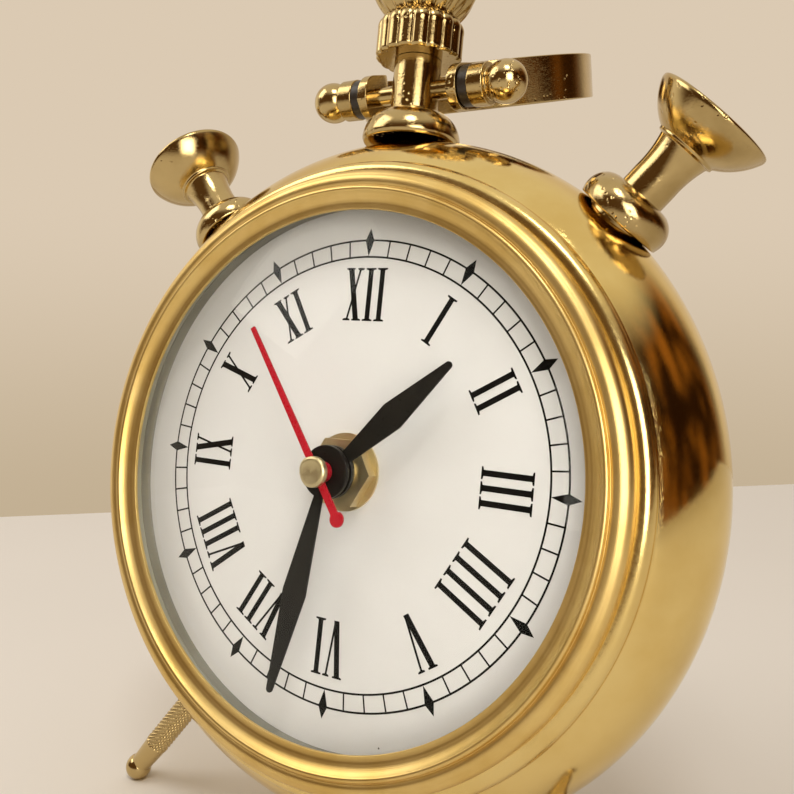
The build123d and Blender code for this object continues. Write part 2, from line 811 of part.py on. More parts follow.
def battery_contacts():
    """Spring plates at both ends of the battery bay."""
    bay_half = movement_size / 2 - movement_wall
    half = contact_size / 2
    plates = []
    for side, cell_end in ((-1, battery_half), (1, battery_half + battery_nub_length)):
        inner = bay_half - contact_thickness
        plate = Pos(side * (inner + contact_thickness / 2), battery_y, battery_z) * Box(
            contact_thickness, contact_size, 2 * half)
        button_length = inner - cell_end - ring_clearance
        button = Rot(0, side * 90, 0) * disc(contact_button_radius, inner - button_length, inner)
        plates.append(plate + Pos(0, battery_y, battery_z) * button)
    return Compound(plates)


def movement_front_case():
    """Tray of the movement: a gear chamber above an open battery bay."""
    half = movement_size / 2
    inner = half - movement_wall
    open_y = movement_back_y + 1
    tray = block((-half, movement_front_y, -half), (half, movement_back_y, half))
    tray -= block((-inner, movement_floor_y, chamber_low_z), (inner, open_y, inner))
    tray -= block((-inner, movement_floor_y, bay_floor_z), (inner, open_y, bay_top_z))
    tray -= axial(disc(bush_radius + thread_clearance, 0, movement_back_y))
    for low_z in (board_low_z, board_low_z + board_width - board_ledge):
        tray += block((board_low_x, movement_floor_y, low_z),
                      (board_low_x + board_length, board_y, low_z + board_ledge))
    for x, z in post_places:
        tray += Pos(x, 0, z) * axial(disc(post_radius, movement_floor_y, stator_y))
    pivot = disc(arbor_radius + running_clearance, movement_floor_y - pivot_depth, movement_floor_y + 1)
    for place in arbor_places():
        tray -= place * axial(pivot)
    pivot_low = movement_floor_y - pivot_depth
    stem_pivot = disc(set_stem_radius + running_clearance, pivot_low, movement_floor_y + 1)
    return tray - dial_place(motion_distance, motion_direction) * axial(stem_pivot)


def movement_rear_case():
    """Lid over the gear chamber."""
    half = movement_size / 2
    lid = block((-half, movement_back_y, bay_top_z), (half, movement_back_y + movement_lid_thickness, half))
    pivot = disc(arbor_radius + running_clearance, movement_back_y - 1, movement_back_y + pivot_depth)
    for place in arbor_places():
        lid -= place * axial(pivot)
    pivot_radius = second_arbor_radius + running_clearance
    lid -= axial(disc(pivot_radius, movement_back_y - 1, movement_back_y + pivot_depth))
    hole = disc(set_stem_radius + running_clearance, movement_back_y - 1, set_knob_y)
    return lid - dial_place(motion_distance, motion_direction) * axial(hole)


def rear_screw_places():
    start = 180 / rear_screw_count
    step = 360 / rear_screw_count
    angles = [start + k * step for k in range(rear_screw_count)]
    return [Pos(0, case_rear_y, 0) * dial_place(rear_screw_circle, angle) for angle in angles]


def rear_cover():
    """Back plate with a round window through which the battery and the setting knob are reached."""
    back_y = case_rear_y + rear_cover_thickness
    spigot_radius = case_rear_opening_radius - ring_clearance
    plate = axial(disc(rear_cover_radius, case_rear_y, back_y))
    spigot_inner = spigot_radius - rear_spigot_width
    plate += axial(ring(spigot_inner, spigot_radius, case_rear_y - rear_spigot_depth, case_rear_y))
    window_radius = spigot_radius - rear_spigot_width - rear_window_border
    plate -= axial(disc(window_radius, case_rear_y - 1, back_y + 1))
    for place in rear_screw_places():
        plate -= place * axial(disc(rear_screw_radius + thread_clearance, -1, rear_cover_thickness + 1))
    return plate


def rear_cover_screws():
    """Round-headed screws of the rear cover, with driver slots."""
    head_top = rear_cover_thickness + rear_screw_head_height
    screw = turned(
        (0, head_top - rear_screw_length),
        (rear_screw_radius, head_top - rear_screw_length),
        (rear_screw_radius, rear_cover_thickness),
        (rear_screw_head_radius, rear_cover_thickness),
        ((0.8 * rear_screw_head_radius, rear_cover_thickness + 0.75 * rear_screw_head_height), (0, head_top)),
    )
    slot_width = 0.3 * rear_screw_head_radius
    slot_low = head_top - 0.5 * rear_screw_head_height
    screw -= block((-2 * rear_screw_head_radius, -slot_width / 2, slot_low),
                   (2 * rear_screw_head_radius, slot_width / 2, head_top + 1))
    return Compound([place * axial(screw) for place in rear_screw_places()])


# Heights of a push button along its own axis
button_top_of_bush = button_seat + bush_dome_height
button_body_low = button_top_of_bush - button_guide_depth
button_head_base = button_top_of_bush + button_stem_length
button_rim_low = button_head_base + button_head_height - button_rim_thickness
button_top = button_rim_low + button_rim_thickness
bush_shank_end = button_seat - bush_shank_length
bush_floor_top = bush_shank_end + bush_floor


def button_bush():
    """Domed base of a push button, whose shank goes through the case and guides the button."""
    swell = bush_foot_radius + bush_swell
    dome_start = button_seat + 0.2 * bush_dome_height
    top_radius = button_bore_radius + bush_dome_top_width
    dome_mid = (top_radius + 0.74 * (swell - top_radius),
                dome_start + 0.7 * (button_top_of_bush - dome_start))
    return turned(
        (button_tail_radius + running_clearance, bush_shank_end),
        (bush_shank_radius, bush_shank_end),
        (bush_shank_radius, button_seat),
        (bush_foot_radius, button_seat),
        (swell, dome_start),
        (dome_mid, (top_radius, button_top_of_bush)),
        (button_bore_radius, button_top_of_bush),
        (button_bore_radius, bush_floor_top),
        (button_tail_radius + running_clearance, bush_floor_top),
    )


def push_button():
    """Flared button: a dished head on a waisted stem, with a thin tail through the bush's floor."""
    waist_low = button_top_of_bush + button_travel + 0.3
    waist_mid = ((waist_low + button_head_base) / 2)
    neck_ring = button_stem_radius + 0.8
    bowl_base = button_head_base + 0.5
    bowl_mid = (neck_ring + 0.6 * (button_rim_radius - neck_ring),
                bowl_base + 0.4 * (button_rim_low - bowl_base))
    dish_edge = button_rim_radius - 0.6 * button_rim_thickness
    dish_mid = ((dish_edge + button_dish_floor_radius) / 2, button_top - 0.8 * button_dish_depth)
    return turned(
        (0, button_body_low - button_tail_length),
        (button_tail_radius, button_body_low - button_tail_length),
        (button_tail_radius, button_body_low),
        (button_stem_radius, button_body_low),
        (button_stem_radius, waist_low),
        ((button_stem_radius - button_stem_waist, waist_mid), (button_stem_radius, button_head_base)),
        (neck_ring, button_head_base),
        (neck_ring, bowl_base),
        (bowl_mid, (button_rim_radius, button_rim_low)),
        (button_rim_radius, button_top - 0.3 * button_rim_thickness),
        (dish_edge, button_top),
        (dish_mid, (button_dish_floor_radius, button_top - button_dish_depth)),
        (0, button_top - button_dish_depth),
    )


def button_spring():
    """Return spring between the bush's floor and the button, as a sleeve of the coil's size."""
    inner = button_tail_radius + button_spring_gap
    low = bush_floor_top + ring_clearance
    return ring(inner, inner + button_spring_wire, low, button_body_low - ring_clearance)


def button_clip():
    """Ring on the button's tail that stops it against the bush's floor."""
    high = bush_shank_end - ring_clearance
    return ring(button_tail_radius, button_tail_radius + clip_width, high - clip_thickness, high)


def button_nut():
    """Ring nut that holds a bush from inside the case."""
    outer = bush_shank_radius + button_nut_width
    high = inner_seat(outer)
    return ring(bush_shank_radius + thread_clearance, outer, high - button_nut_thickness, high)


def neck_flange():
    """Domed saucer under the neck."""
    rim_top = neck_seat + neck_flange_rim
    dome_mid = (neck_tube_radius + 0.76 * (neck_flange_radius - neck_tube_radius),
                rim_top + 0.62 * (neck_tube_base - rim_top))
    return turned(
        (stud_hole_radius, neck_seat),
        (0.96 * neck_flange_radius, neck_seat),
        (neck_flange_radius, rim_top),
        (dome_mid, (neck_tube_radius, neck_tube_base)),
        (stud_hole_radius, neck_tube_base),
    )


def neck_tube():
    """Neck with a cross hole for the bow's screws."""
    tube = ring(stud_hole_radius, neck_tube_radius, neck_tube_base, neck_top)
    reach = 2 * neck_tube_radius
    cross = Rot(0, 90, 0) * disc(bow_screw_radius + thread_clearance, -reach, reach)
    return tube - Pos(0, 0, bow_pivot) * cross


def neck_stud():
    """Threaded rod from inside the case up into the crown."""
    return disc(stud_radius, inner_seat(neck_nut_radius) - stud_inner_length, stud_end)


def neck_nut():
    high = inner_seat(neck_nut_radius)
    return ring(stud_radius + thread_clearance, neck_nut_radius, high - neck_nut_thickness, high)


def crown_collar():
    """Fluted collar under the crown."""
    shoulder = crown_base - collar_shoulder_height
    shoulder_mid = (collar_top_radius + 0.75 * (collar_radius - collar_top_radius),
                    shoulder + 0.7 * collar_shoulder_height)
    collar = turned(
        (stud_radius + running_clearance, collar_base),
        (collar_radius, collar_base),
        (collar_radius, shoulder),
        (shoulder_mid, (collar_top_radius, crown_base)),
        (stud_radius + running_clearance, crown_base),
    )
    for place in PolarLocations(collar_radius + 0.5 * collar_flute_radius, collar_flutes):
        collar -= place * disc(collar_flute_radius, collar_base - 1, crown_base + 1)
    return collar


def crown():
    """Onion-shaped crown with rounded flutes and a button on top."""
    bulb = turned(
        (0, crown_base + crown_bore_depth),
        (0, crown_top + crown_button_height),
        (0.8 * crown_button_radius, crown_top + crown_button_height),
        (crown_button_radius, crown_top),
        (crown_top_radius, crown_top),
        ((crown_radius, crown_center), (crown_seat_radius, crown_base)),
        (stud_radius + running_clearance, crown_base),
        (stud_radius + running_clearance, crown_base + crown_bore_depth),
    )
    track = crown_radius + crown_flute_radius - crown_flute_depth
    low = radians(-52)
    high = radians(55)
    path = ThreePointArc(
        point(track * cos(low), crown_center + track * sin(low)),
        point(track, crown_center),
        point(track * cos(high), crown_center + track * sin(high)),
    )
    section = Plane(origin=path @ 0, z_dir=path % 0) * Circle(crown_flute_radius)
    cutter = sweep(section, path)
    for k in range(crown_flutes):
        bulb -= Rot(0, 0, k * 360 / crown_flutes) * cutter
    return bulb


def bow_band():
    """Flat band bent to a ring with two ears, made standing up about the pivot at the origin."""
    reach = bow_ring_radius + bow_bend_radius
    bow_ring_center = bow_ring_radius + bow_ring_rise
    side = bow_ear_offset + bow_bend_radius
    bend_height = bow_ring_center - sqrt(reach ** 2 - side ** 2)
    join_angle = atan2(bend_height - bow_ring_center, side)
    join = (bow_ring_radius * cos(join_angle), bow_ring_center + bow_ring_radius * sin(join_angle))
    bend_turn = (pi + (join_angle + pi)) / 2
    bend_mid = (side + bow_bend_radius * cos(bend_turn), bend_height + bow_bend_radius * sin(bend_turn))
    right = (bow_ear_offset, bend_height)
    top = (0, bow_ring_center + bow_ring_radius)

    def mirrored(place):
        return (-place[0], place[1])

    path = Wire([
        Line(point(bow_ear_offset, -bow_ear_overhang), point(*right)),
        ThreePointArc(point(*right), point(*bend_mid), point(*join)),
        ThreePointArc(point(*join), point(*top), point(*mirrored(join))),
        ThreePointArc(point(*mirrored(join)), point(*mirrored(bend_mid)), point(*mirrored(right))),
        Line(point(*mirrored(right)), point(-bow_ear_offset, -bow_ear_overhang)),
    ])
    start = Plane(origin=point(bow_ear_offset, -bow_ear_overhang), z_dir=(0, 0, 1))
    section = start * Rectangle(bow_thickness, bow_width)
    band = sweep(section, path)
    tips = [edge for edge in band.edges().filter_by(Axis.X) if edge.center().Z < -bow_ear_overhang + 0.01]
    band = fillet(tips, bow_ear_rounding)
    eye = Rot(0, 90, 0) * disc(bow_screw_radius + running_clearance, -2 * bow_ear_offset, 2 * bow_ear_offset)
    return band - eye


def bow():
    return Pos(0, case_mid_y, bow_pivot) * Rot(-bow_fold_angle, 0, 0) * bow_band()


bow_washer_low = bow_ear_offset + bow_thickness / 2 + bow_side_gap
bow_collar_low = bow_washer_low + bow_washer_thickness
bow_ball_low = bow_collar_low + bow_collar_length + bow_groove_length
bow_ball_center = bow_ball_low + sqrt(bow_ball_radius ** 2 - bow_groove_radius ** 2)


def on_pivot(shape):
    """A pair of shapes made about Z, laid out to the left and right along the bow's pivot."""
    place = Pos(0, case_mid_y, bow_pivot)
    return Compound([place * Rot(0, side * 90, 0) * shape for side in (-1, 1)])


def bow_screws():
    """Ball-headed screws that the bow swings on."""
    low = neck_tube_radius - bow_screw_grip
    collar_high = bow_collar_low + bow_collar_length
    chamfer = 0.1 * bow_collar_radius
    screw = turned(
        (0, low),
        (bow_screw_radius, low),
        (bow_screw_radius, bow_collar_low),
        (bow_collar_radius, bow_collar_low),
        (bow_collar_radius, collar_high - chamfer),
        (bow_collar_radius - chamfer, collar_high),
        (bow_groove_radius, collar_high),
        (bow_groove_radius, bow_ball_low),
        ((bow_ball_radius, bow_ball_center), (0, bow_ball_center + bow_ball_radius)),
    )
    return on_pivot(screw)


def bow_washers():
    hole = bow_screw_radius + running_clearance
    return on_pivot(ring(hole, bow_washer_radius, bow_washer_low, bow_collar_low))


def leg(length):
    """Round leg made about Z from its seat, with a threaded stud, a plain tapered tip and a ball foot."""
    knurl_end = length - leg_tip_length
    ankle = length - sqrt(leg_ball_radius ** 2 - leg_ankle_radius ** 2)
    return turned(
        (0, -leg_stud_length),
        (leg_stud_radius, -leg_stud_length),
        (leg_stud_radius, 0),
        (leg_knurl_radius, 0),
        (leg_knurl_radius, knurl_end),
        (leg_ankle_radius, ankle),
        ((leg_ball_radius, length), (0, length + leg_ball_radius)),
    )


def rear_leg_place():
    """Place on the drum's rear rounding, below the axis, with Z square to the surface."""
    return (Pos(0, case_mid_y + rear_seat_radius * rear_leg_sin, rear_foot_z)
            * Rot(180 + rear_leg_position, 0, 0))


def front_leg(side):
    return radial(Pos(0, 0, leg_seat) * leg(leg_length), side * leg_angle)


def rear_leg():
    return rear_leg_place() * leg(rear_leg_length)


def leg_nuts():
    """Nuts of the three legs, inside the case."""
    high = inner_seat(leg_nut_radius)
    nut = ring(leg_stud_radius + thread_clearance, leg_nut_radius, high - leg_nut_thickness, high)
    rear_high = high - bulge_center_radius - rear_seat_radius
    rear_low = rear_high - leg_nut_thickness
    rear_nut = ring(leg_stud_radius + thread_clearance, leg_nut_radius, rear_low, rear_high)
    return Compound([radial(nut, -leg_angle), radial(nut, leg_angle), rear_leg_place() * rear_nut])


def pieces():
    """Every piece in the clock frame, by name."""
    made = {
        "case_shell": case_shell(),
        "front_bezel": front_bezel(),
        "crystal": crystal(),
        "crystal_seal": crystal_seal(),
        "dial_spacer_ring": dial_spacer_ring(),
        "dial_plate": dial_plate(),
        "dial_retainer": dial_retainer(),
        "rear_cover": rear_cover(),
        "rear_cover_screws": rear_cover_screws(),
        "movement_front_case": movement_front_case(),
        "movement_rear_case": movement_rear_case(),
        "center_bush": center_bush(),
        "rear_washer": rear_washer(),
        "front_washer": front_washer(),
        "shaft_nut": shaft_nut(),
        "hour_hand": hour_hand(),
        "minute_hand": minute_hand(),
        "second_hand": second_hand(),
        "second_hand_cap": second_hand_cap(),
        "hour_wheel": hour_wheel(),
        "center_wheel": center_wheel(),
        "seconds_wheel": seconds_wheel(),
        "third_wheel": third_wheel(),
        "motion_wheel": motion_wheel(),
        "step_wheel": step_wheel(),
        "rotor": rotor(),
        "stator": stator(),
        "coil": coil(),
        "circuit_board": circuit_board(),
        "battery": battery(),
        "battery_contacts": battery_contacts(),
        "set_knob": set_knob(),
        "neck_flange": radial(neck_flange(), 0),
        "neck_tube": radial(neck_tube(), 0),
        "neck_stud": radial(neck_stud(), 0),
        "neck_nut": radial(neck_nut(), 0),
        "crown_collar": radial(crown_collar(), 0),
        "crown": radial(crown(), 0),
        "bow": bow(),
        "bow_screws": bow_screws(),
        "bow_washers": bow_washers(),
        "left_leg": front_leg(-1),
        "right_leg": front_leg(1),
        "rear_leg": rear_leg(),
        "leg_nuts": leg_nuts(),
    }
    for name, side in (("left", -1), ("right", 1)):
        angle = side * button_angle
        made[name + "_button_bush"] = radial(button_bush(), angle)
        made[name + "_button"] = radial(push_button(), angle)
        made[name + "_button_spring"] = radial(button_spring(), angle)
        made[name + "_button_clip"] = radial(button_clip(), angle)
        made[name + "_button_nut"] = radial(button_nut(), angle)
    return made


# Stance: lean back, feet on the table, origin under the middle of the whole clock
front_ball_height = front_ball_z * cos(radians(lean_angle)) - case_mid_y * sin(radians(lean_angle))
lift = leg_ball_radius - foot_flat_depth - front_ball_height
leaned = {name: Pos(0, 0, lift) * Rot(-lean_angle, 0, 0) * piece for name, piece in pieces().items()}
for name in ("left_leg", "right_leg", "rear_leg"):
    table = Box(4 * case_max_radius, 4 * case_max_radius, 2 * leg_ball_radius)
    leaned[name] -= Pos(0, 0, -leg_ball_radius) * table
whole = Compound(list(leaned.values())).bounding_box()
stand = Pos(-whole.center().X, -whole.center().Y, 0)

os.makedirs("parts", exist_ok=True)
for name, piece in leaned.items():
    export_step(stand * piece, os.path.join("parts", name + ".step"))
size = [round(v, 2) for v in whole.size]
print("size", size, "shift y", round(-whole.center().Y, 4), "lift", round(lift, 4))
print("rear leg length", round(rear_leg_length, 3))
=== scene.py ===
import json
import math

import bmesh
import bpy
from mathutils import Matrix, Vector

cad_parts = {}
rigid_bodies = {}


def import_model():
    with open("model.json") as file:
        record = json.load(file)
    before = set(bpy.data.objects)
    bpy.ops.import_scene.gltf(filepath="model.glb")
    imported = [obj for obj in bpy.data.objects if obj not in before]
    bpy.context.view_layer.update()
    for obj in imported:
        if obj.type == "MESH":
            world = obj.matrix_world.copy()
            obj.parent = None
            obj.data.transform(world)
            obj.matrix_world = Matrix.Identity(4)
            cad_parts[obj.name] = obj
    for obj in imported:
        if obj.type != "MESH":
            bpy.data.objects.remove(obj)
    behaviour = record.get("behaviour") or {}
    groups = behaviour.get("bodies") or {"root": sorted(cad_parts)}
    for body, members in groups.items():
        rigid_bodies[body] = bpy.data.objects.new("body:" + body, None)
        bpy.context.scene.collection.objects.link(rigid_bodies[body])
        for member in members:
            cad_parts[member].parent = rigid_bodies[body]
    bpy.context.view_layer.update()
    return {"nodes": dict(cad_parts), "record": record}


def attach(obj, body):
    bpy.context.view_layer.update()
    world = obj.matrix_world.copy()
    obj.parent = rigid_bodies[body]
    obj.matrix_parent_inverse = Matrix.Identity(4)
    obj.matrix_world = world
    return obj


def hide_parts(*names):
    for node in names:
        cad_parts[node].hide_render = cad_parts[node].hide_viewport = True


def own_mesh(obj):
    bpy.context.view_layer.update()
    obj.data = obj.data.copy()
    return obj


for stray in list(bpy.data.objects):
    bpy.data.objects.remove(stray)
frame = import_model()
nodes = frame["nodes"]

# The clock frame: x right, y into the clock along the hands' axis, z towards XII, dial front at y = 0
joints = {j["name"]: j for j in frame["record"]["behaviour"]["joints"]}
hands_axis = Vector(joints["second_hand_turn"]["axis"]).normalized()
across = Vector((1, 0, 0))
CLOCK = Matrix.Translation(Vector(joints["second_hand_turn"]["pos_m"])) @ Matrix(
    (across, hands_axis, across.cross(hands_axis))).transposed().to_4x4()
MM = 0.001  # metres in a millimetre: sizes are written in millimetres, and meshes are in metres
MID = 12.5  # how far the drum's widest ring lies behind the dial
SIDES = ((-1, "left"), (1, "right"))
FRONT = CLOCK @ Matrix.Rotation(math.radians(90), 4, "X")
BACK = CLOCK @ Matrix.Rotation(math.radians(-90), 4, "X")


def radial(clock_angle):
    """Frame whose z stands out of the drum at this angle clockwise from XII."""
    return CLOCK @ Matrix.Translation((0, MID * MM, 0)) @ Matrix.Rotation(math.radians(clock_angle), 4, "Y")


# Profiles
def arc(a, m, b, n):
    """Points after a on the arc from a through m to b."""
    ax, ay = a
    mx, my = m
    bx, by = b
    d = 2 * (ax * (my - by) + mx * (by - ay) + bx * (ay - my))
    if abs(d) < 1e-9:
        return [b]
    sa, sm, sb = ax * ax + ay * ay, mx * mx + my * my, bx * bx + by * by
    ux = (sa * (my - by) + sm * (by - ay) + sb * (ay - my)) / d
    uy = (sa * (bx - mx) + sm * (ax - bx) + sb * (mx - ax)) / d
    r = math.hypot(ax - ux, ay - uy)
    t0 = math.atan2(ay - uy, ax - ux)
    tm = (math.atan2(my - uy, mx - ux) - t0) % (2 * math.pi)
    t1 = (math.atan2(by - uy, bx - ux) - t0) % (2 * math.pi)
    if tm > t1:
        t1 -= 2 * math.pi
    turns = [t0 + t1 * k / n for k in range(1, n + 1)]
    return [(ux + r * math.cos(t), uy + r * math.sin(t)) for t in turns]


def profile(start, *steps, n=20):
    """Points along steps, each of them a point to go to, or a pair of points for an arc."""
    points = [start]
    for step in steps:
        if isinstance(step[0], tuple):
            points += arc(points[-1], step[0], step[1], n)
        else:
            points.append(step)
    return points


def soften(points, size, closed=False):
    """Rounds each corner of a profile, as polishing does."""
    out = []
    count = len(points)
    for i, p in enumerate(points):
        if not closed and i in (0, count - 1):
            out.append(p)
            continue
        a = Vector(points[i - 1]) - Vector(p)
        b = Vector(points[(i + 1) % count]) - Vector(p)
        if a.length < 1e-9 or b.length < 1e-9 or a.angle(-b) < math.radians(20):
            out.append(p)
            continue
        d = min(size, 0.45 * a.length, 0.45 * b.length)
        p0 = Vector(p) + a.normalized() * d
        p1 = Vector(p) + b.normalized() * d
        for k in range(5):
            t = k / 4
            q = p0 * (1 - t) ** 2 + Vector(p) * 2 * t * (1 - t) + p1 * t ** 2
            out.append((q.x, q.y))
    return out


def subdivide(points, step):
    """Adds points so that no stretch of a profile is longer than step."""
    out = [points[0]]
    for a, b in zip(points, points[1:]):
        n = max(1, math.ceil(math.dist(a, b) / step))
        out += [(a[0] + (b[0] - a[0]) * k / n, a[1] + (b[1] - a[1]) * k / n) for k in range(1, n + 1)]
    return out


def new_object(name, mesh, place, body, material, stands_for=(), own_axes=False):
    """Adds a mesh at its place; own_axes keeps its local frame for a finish that follows it."""
    obj = bpy.data.objects.new(name, mesh)
    bpy.context.scene.collection.objects.link(obj)
    if own_axes:
        obj.matrix_world = place
    else:
        mesh.transform(place)
    mesh.materials.append(material)
    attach(obj, body)
    if stands_for:
        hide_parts(*stands_for)
    return obj


def weighted(obj):
    """Shades a piece by its larger faces."""
    mod = obj.modifiers.new("weighted", "WEIGHTED_NORMAL")
    mod.keep_sharp = True
    return obj


def finished_mesh(name, bm, smooth=True):
    """Mesh from a bmesh, its faces turned outwards."""
    bmesh.ops.recalc_face_normals(bm, faces=bm.faces)
    mesh = bpy.data.meshes.new(name)
    bm.to_mesh(mesh)
    bm.free()
    if smooth:
        mesh.shade_smooth()
    return mesh


def skin(bm, rows):
    """Joins rows of points into a tube with capped ends."""
    count = len(rows[0])
    for a, b in zip(rows, rows[1:]):
        for k in range(count):
            n = (k + 1) % count
            bm.faces.new((a[k], a[n], b[n], b[k]))
    bm.faces.new(rows[0])
    bm.faces.new(rows[-1])


def turned_mesh(name, points, segments, closed, wave=None):
    """Mesh turned about z from (radius, height) points; wave changes the radius around the turn."""
    bm = bmesh.new()
    rings = []
    for r, s in points:
        if r < 1e-6:
            rings.append([bm.verts.new((0, 0, s * MM))])
            continue
        row = []
        for k in range(segments):
            t = 2 * math.pi * k / segments
            rr = wave(r, s, t) if wave else r
            row.append(bm.verts.new((rr * math.cos(t) * MM, rr * math.sin(t) * MM, s * MM)))
        rings.append(row)
    pairs = list(zip(rings, rings[1:]))
    if closed:
        pairs.append((rings[-1], rings[0]))
    for a, b in pairs:
        for k in range(segments):
            n = (k + 1) % segments
            if len(a) == 1 and len(b) == 1:
                continue
            if len(a) == 1:
                bm.faces.new((a[0], b[n], b[k]))
            elif len(b) == 1:
                bm.faces.new((a[k], a[n], b[0]))
            else:
                bm.faces.new((a[k], a[n], b[n], b[k]))
    return finished_mesh(name, bm)


def turned(name, points, place, body, material, stands_for=(), segments=160, closed=True,
           round_size=0.2, wave=None, own_axes=False):
    """Adds a turned piece, the corners of its profile rounded."""
    shape = soften(points, round_size, closed) if round_size else points
    mesh = turned_mesh(name, shape, segments, closed, wave)
    return weighted(new_object(name, mesh, place, body, material, stands_for, own_axes))


# Materials
def shader(name):
    """New material, with its nodes, links and shader."""
    mat = bpy.data.materials.new(name)
    mat.use_nodes = True
    tree = mat.node_tree
    return mat, tree.nodes, tree.links, tree.nodes["Principled BSDF"]


def noise(tn, tl, vector, scale, detail=3.0, rough=0.55):
    tex = tn.new("ShaderNodeTexNoise")
    tex.inputs["Scale"].default_value = scale
    tex.inputs["Detail"].default_value = detail
    tex.inputs["Roughness"].default_value = rough
    tl.new(vector, tex.inputs["Vector"])
    return tex.outputs["Fac"]


def ramp(tn, tl, value, low, high, a=0.0, b=1.0):
    """Value remapped smoothly from low..high to a..b."""
    node = tn.new("ShaderNodeMapRange")
    node.interpolation_type = "SMOOTHSTEP"
    node.inputs["From Min"].default_value = low
    node.inputs["From Max"].default_value = high
    node.inputs["To Min"].default_value = a
    node.inputs["To Max"].default_value = b
    tl.new(value, node.inputs["Value"])
    return node.outputs["Result"]


def mixed(tn, tl, fac, a, b):
    """Colour between a and b, each a colour or an output."""
    node = tn.new("ShaderNodeMix")
    node.data_type = "RGBA"
    ia, ib = [i for i in node.inputs if i.type == "RGBA"][:2]
    for socket, value in ((ia, a), (ib, b)):
        if isinstance(value, tuple):
            socket.default_value = (*value, 1)
        else:
            tl.new(value, socket)
    tl.new(fac, node.inputs["Factor"])
    return [o for o in node.outputs if o.type == "RGBA"][0]


def math_node(tn, tl, op, a, b=None):
    node = tn.new("ShaderNodeMath")
    node.operation = op
    for k, value in enumerate((a, b)):
        if value is None:
            continue
        if isinstance(value, (int, float)):
            node.inputs[k].default_value = value
        else:
            tl.new(value, node.inputs[k])
    return node.outputs["Value"]


def coords(tn):
    return tn.new("ShaderNodeTexCoord").outputs["Object"]


def bump(tn, tl, bsdf, height, strength, distance):
    node = tn.new("ShaderNodeBump")
    node.inputs["Strength"].default_value = strength
    node.inputs["Distance"].default_value = distance
    tl.new(height, node.inputs["Height"])
    tl.new(node.outputs["Normal"], bsdf.inputs["Normal"])


def brass(name, light, dark, roughness, pits=0.0, scuffs=0.3, waves=0.0, lip=None):
    """Polished brass with tarnish, fine scratches, and casting pits or a worn lip where asked."""
    mat, tn, tl, bsdf = shader(name)
    bsdf.inputs["Metallic"].default_value = 1.0
    c = coords(tn)
    tarnish = ramp(tn, tl, noise(tn, tl, c, 55, 5), 0.35, 0.75)
    tl.new(mixed(tn, tl, tarnish, light, dark), bsdf.inputs["Base Color"])
    stretch = tn.new("ShaderNodeMapping")
    stretch.inputs["Scale"].default_value = (1, 1, 18)
    tl.new(c, stretch.inputs["Vector"])
    fine = noise(tn, tl, stretch.outputs["Vector"], 900, 2)
    smear = noise(tn, tl, c, 130, 4)
    wear = math_node(tn, tl, "MULTIPLY", fine, smear)
    rough = ramp(tn, tl, wear, 0.15, 0.45, roughness * 0.75, roughness * 1.45)
    height = math_node(tn, tl, "MULTIPLY", fine, 0.10 * scuffs)
    if lip:
        split = tn.new("ShaderNodeSeparateXYZ")
        tl.new(c, split.inputs["Vector"])
        worn = ramp(tn, tl, split.outputs["Z"], lip[0], lip[1], 1.0, 0.0)
        rough = math_node(tn, tl, "ADD", rough, math_node(tn, tl, "MULTIPLY", worn, 0.13))
        dents = math_node(tn, tl, "MULTIPLY", noise(tn, tl, c, 700, 3), worn)
        height = math_node(tn, tl, "ADD", height, math_node(tn, tl, "MULTIPLY", dents, 0.09))
    tl.new(rough, bsdf.inputs["Roughness"])
    if waves:
        slow = noise(tn, tl, c, 38, 1.5)
        height = math_node(tn, tl, "ADD", height, math_node(tn, tl, "MULTIPLY", slow, waves))
    if pits:
        cell = tn.new("ShaderNodeTexVoronoi")
        cell.inputs["Scale"].default_value = 900
        tl.new(c, cell.inputs["Vector"])
        where = ramp(tn, tl, noise(tn, tl, c, 120, 3), 0.52, 0.68)
        hole = ramp(tn, tl, cell.outputs["Distance"], 0.10, 0.32)
        pit = math_node(tn, tl, "MULTIPLY", math_node(tn, tl, "SUBTRACT", hole, 1.0), where)
        height = math_node(tn, tl, "ADD", height, math_node(tn, tl, "MULTIPLY", pit, pits))
    bump(tn, tl, bsdf, height, 0.5, 0.0004)
    return mat


def satin_brass(name, light, dark):
    """Turned satin brass: fine rings about z, with a soft blush and scuffs across them."""
    mat, tn, tl, bsdf = shader(name)
    bsdf.inputs["Metallic"].default_value = 1.0
    c = coords(tn)
    split = tn.new("ShaderNodeSeparateXYZ")
    tl.new(c, split.inputs["Vector"])
    flat = tn.new("ShaderNodeCombineXYZ")
    tl.new(split.outputs["X"], flat.inputs["X"])
    tl.new(split.outputs["Y"], flat.inputs["Y"])
    length = tn.new("ShaderNodeVectorMath")
    length.operation = "LENGTH"
    tl.new(flat.outputs["Vector"], length.inputs[0])
    rings = tn.new("ShaderNodeCombineXYZ")
    tl.new(length.outputs["Value"], rings.inputs["X"])
    tl.new(split.outputs["Z"], rings.inputs["Y"])
    lines = noise(tn, tl, rings.outputs["Vector"], 5200, 2)
    blush = noise(tn, tl, c, 70, 4)
    tl.new(mixed(tn, tl, ramp(tn, tl, blush, 0.35, 0.7), light, dark), bsdf.inputs["Base Color"])
    tl.new(ramp(tn, tl, lines, 0.3, 0.7, 0.30, 0.43), bsdf.inputs["Roughness"])
    grain = noise(tn, tl, c, 2600, 2)
    ring_height = math_node(tn, tl, "MULTIPLY", lines, 0.5)
    grain_height = math_node(tn, tl, "MULTIPLY", grain, 0.25)
    height = math_node(tn, tl, "ADD", ring_height, grain_height)
    bump(tn, tl, bsdf, height, 0.18, 0.0002)
    return mat


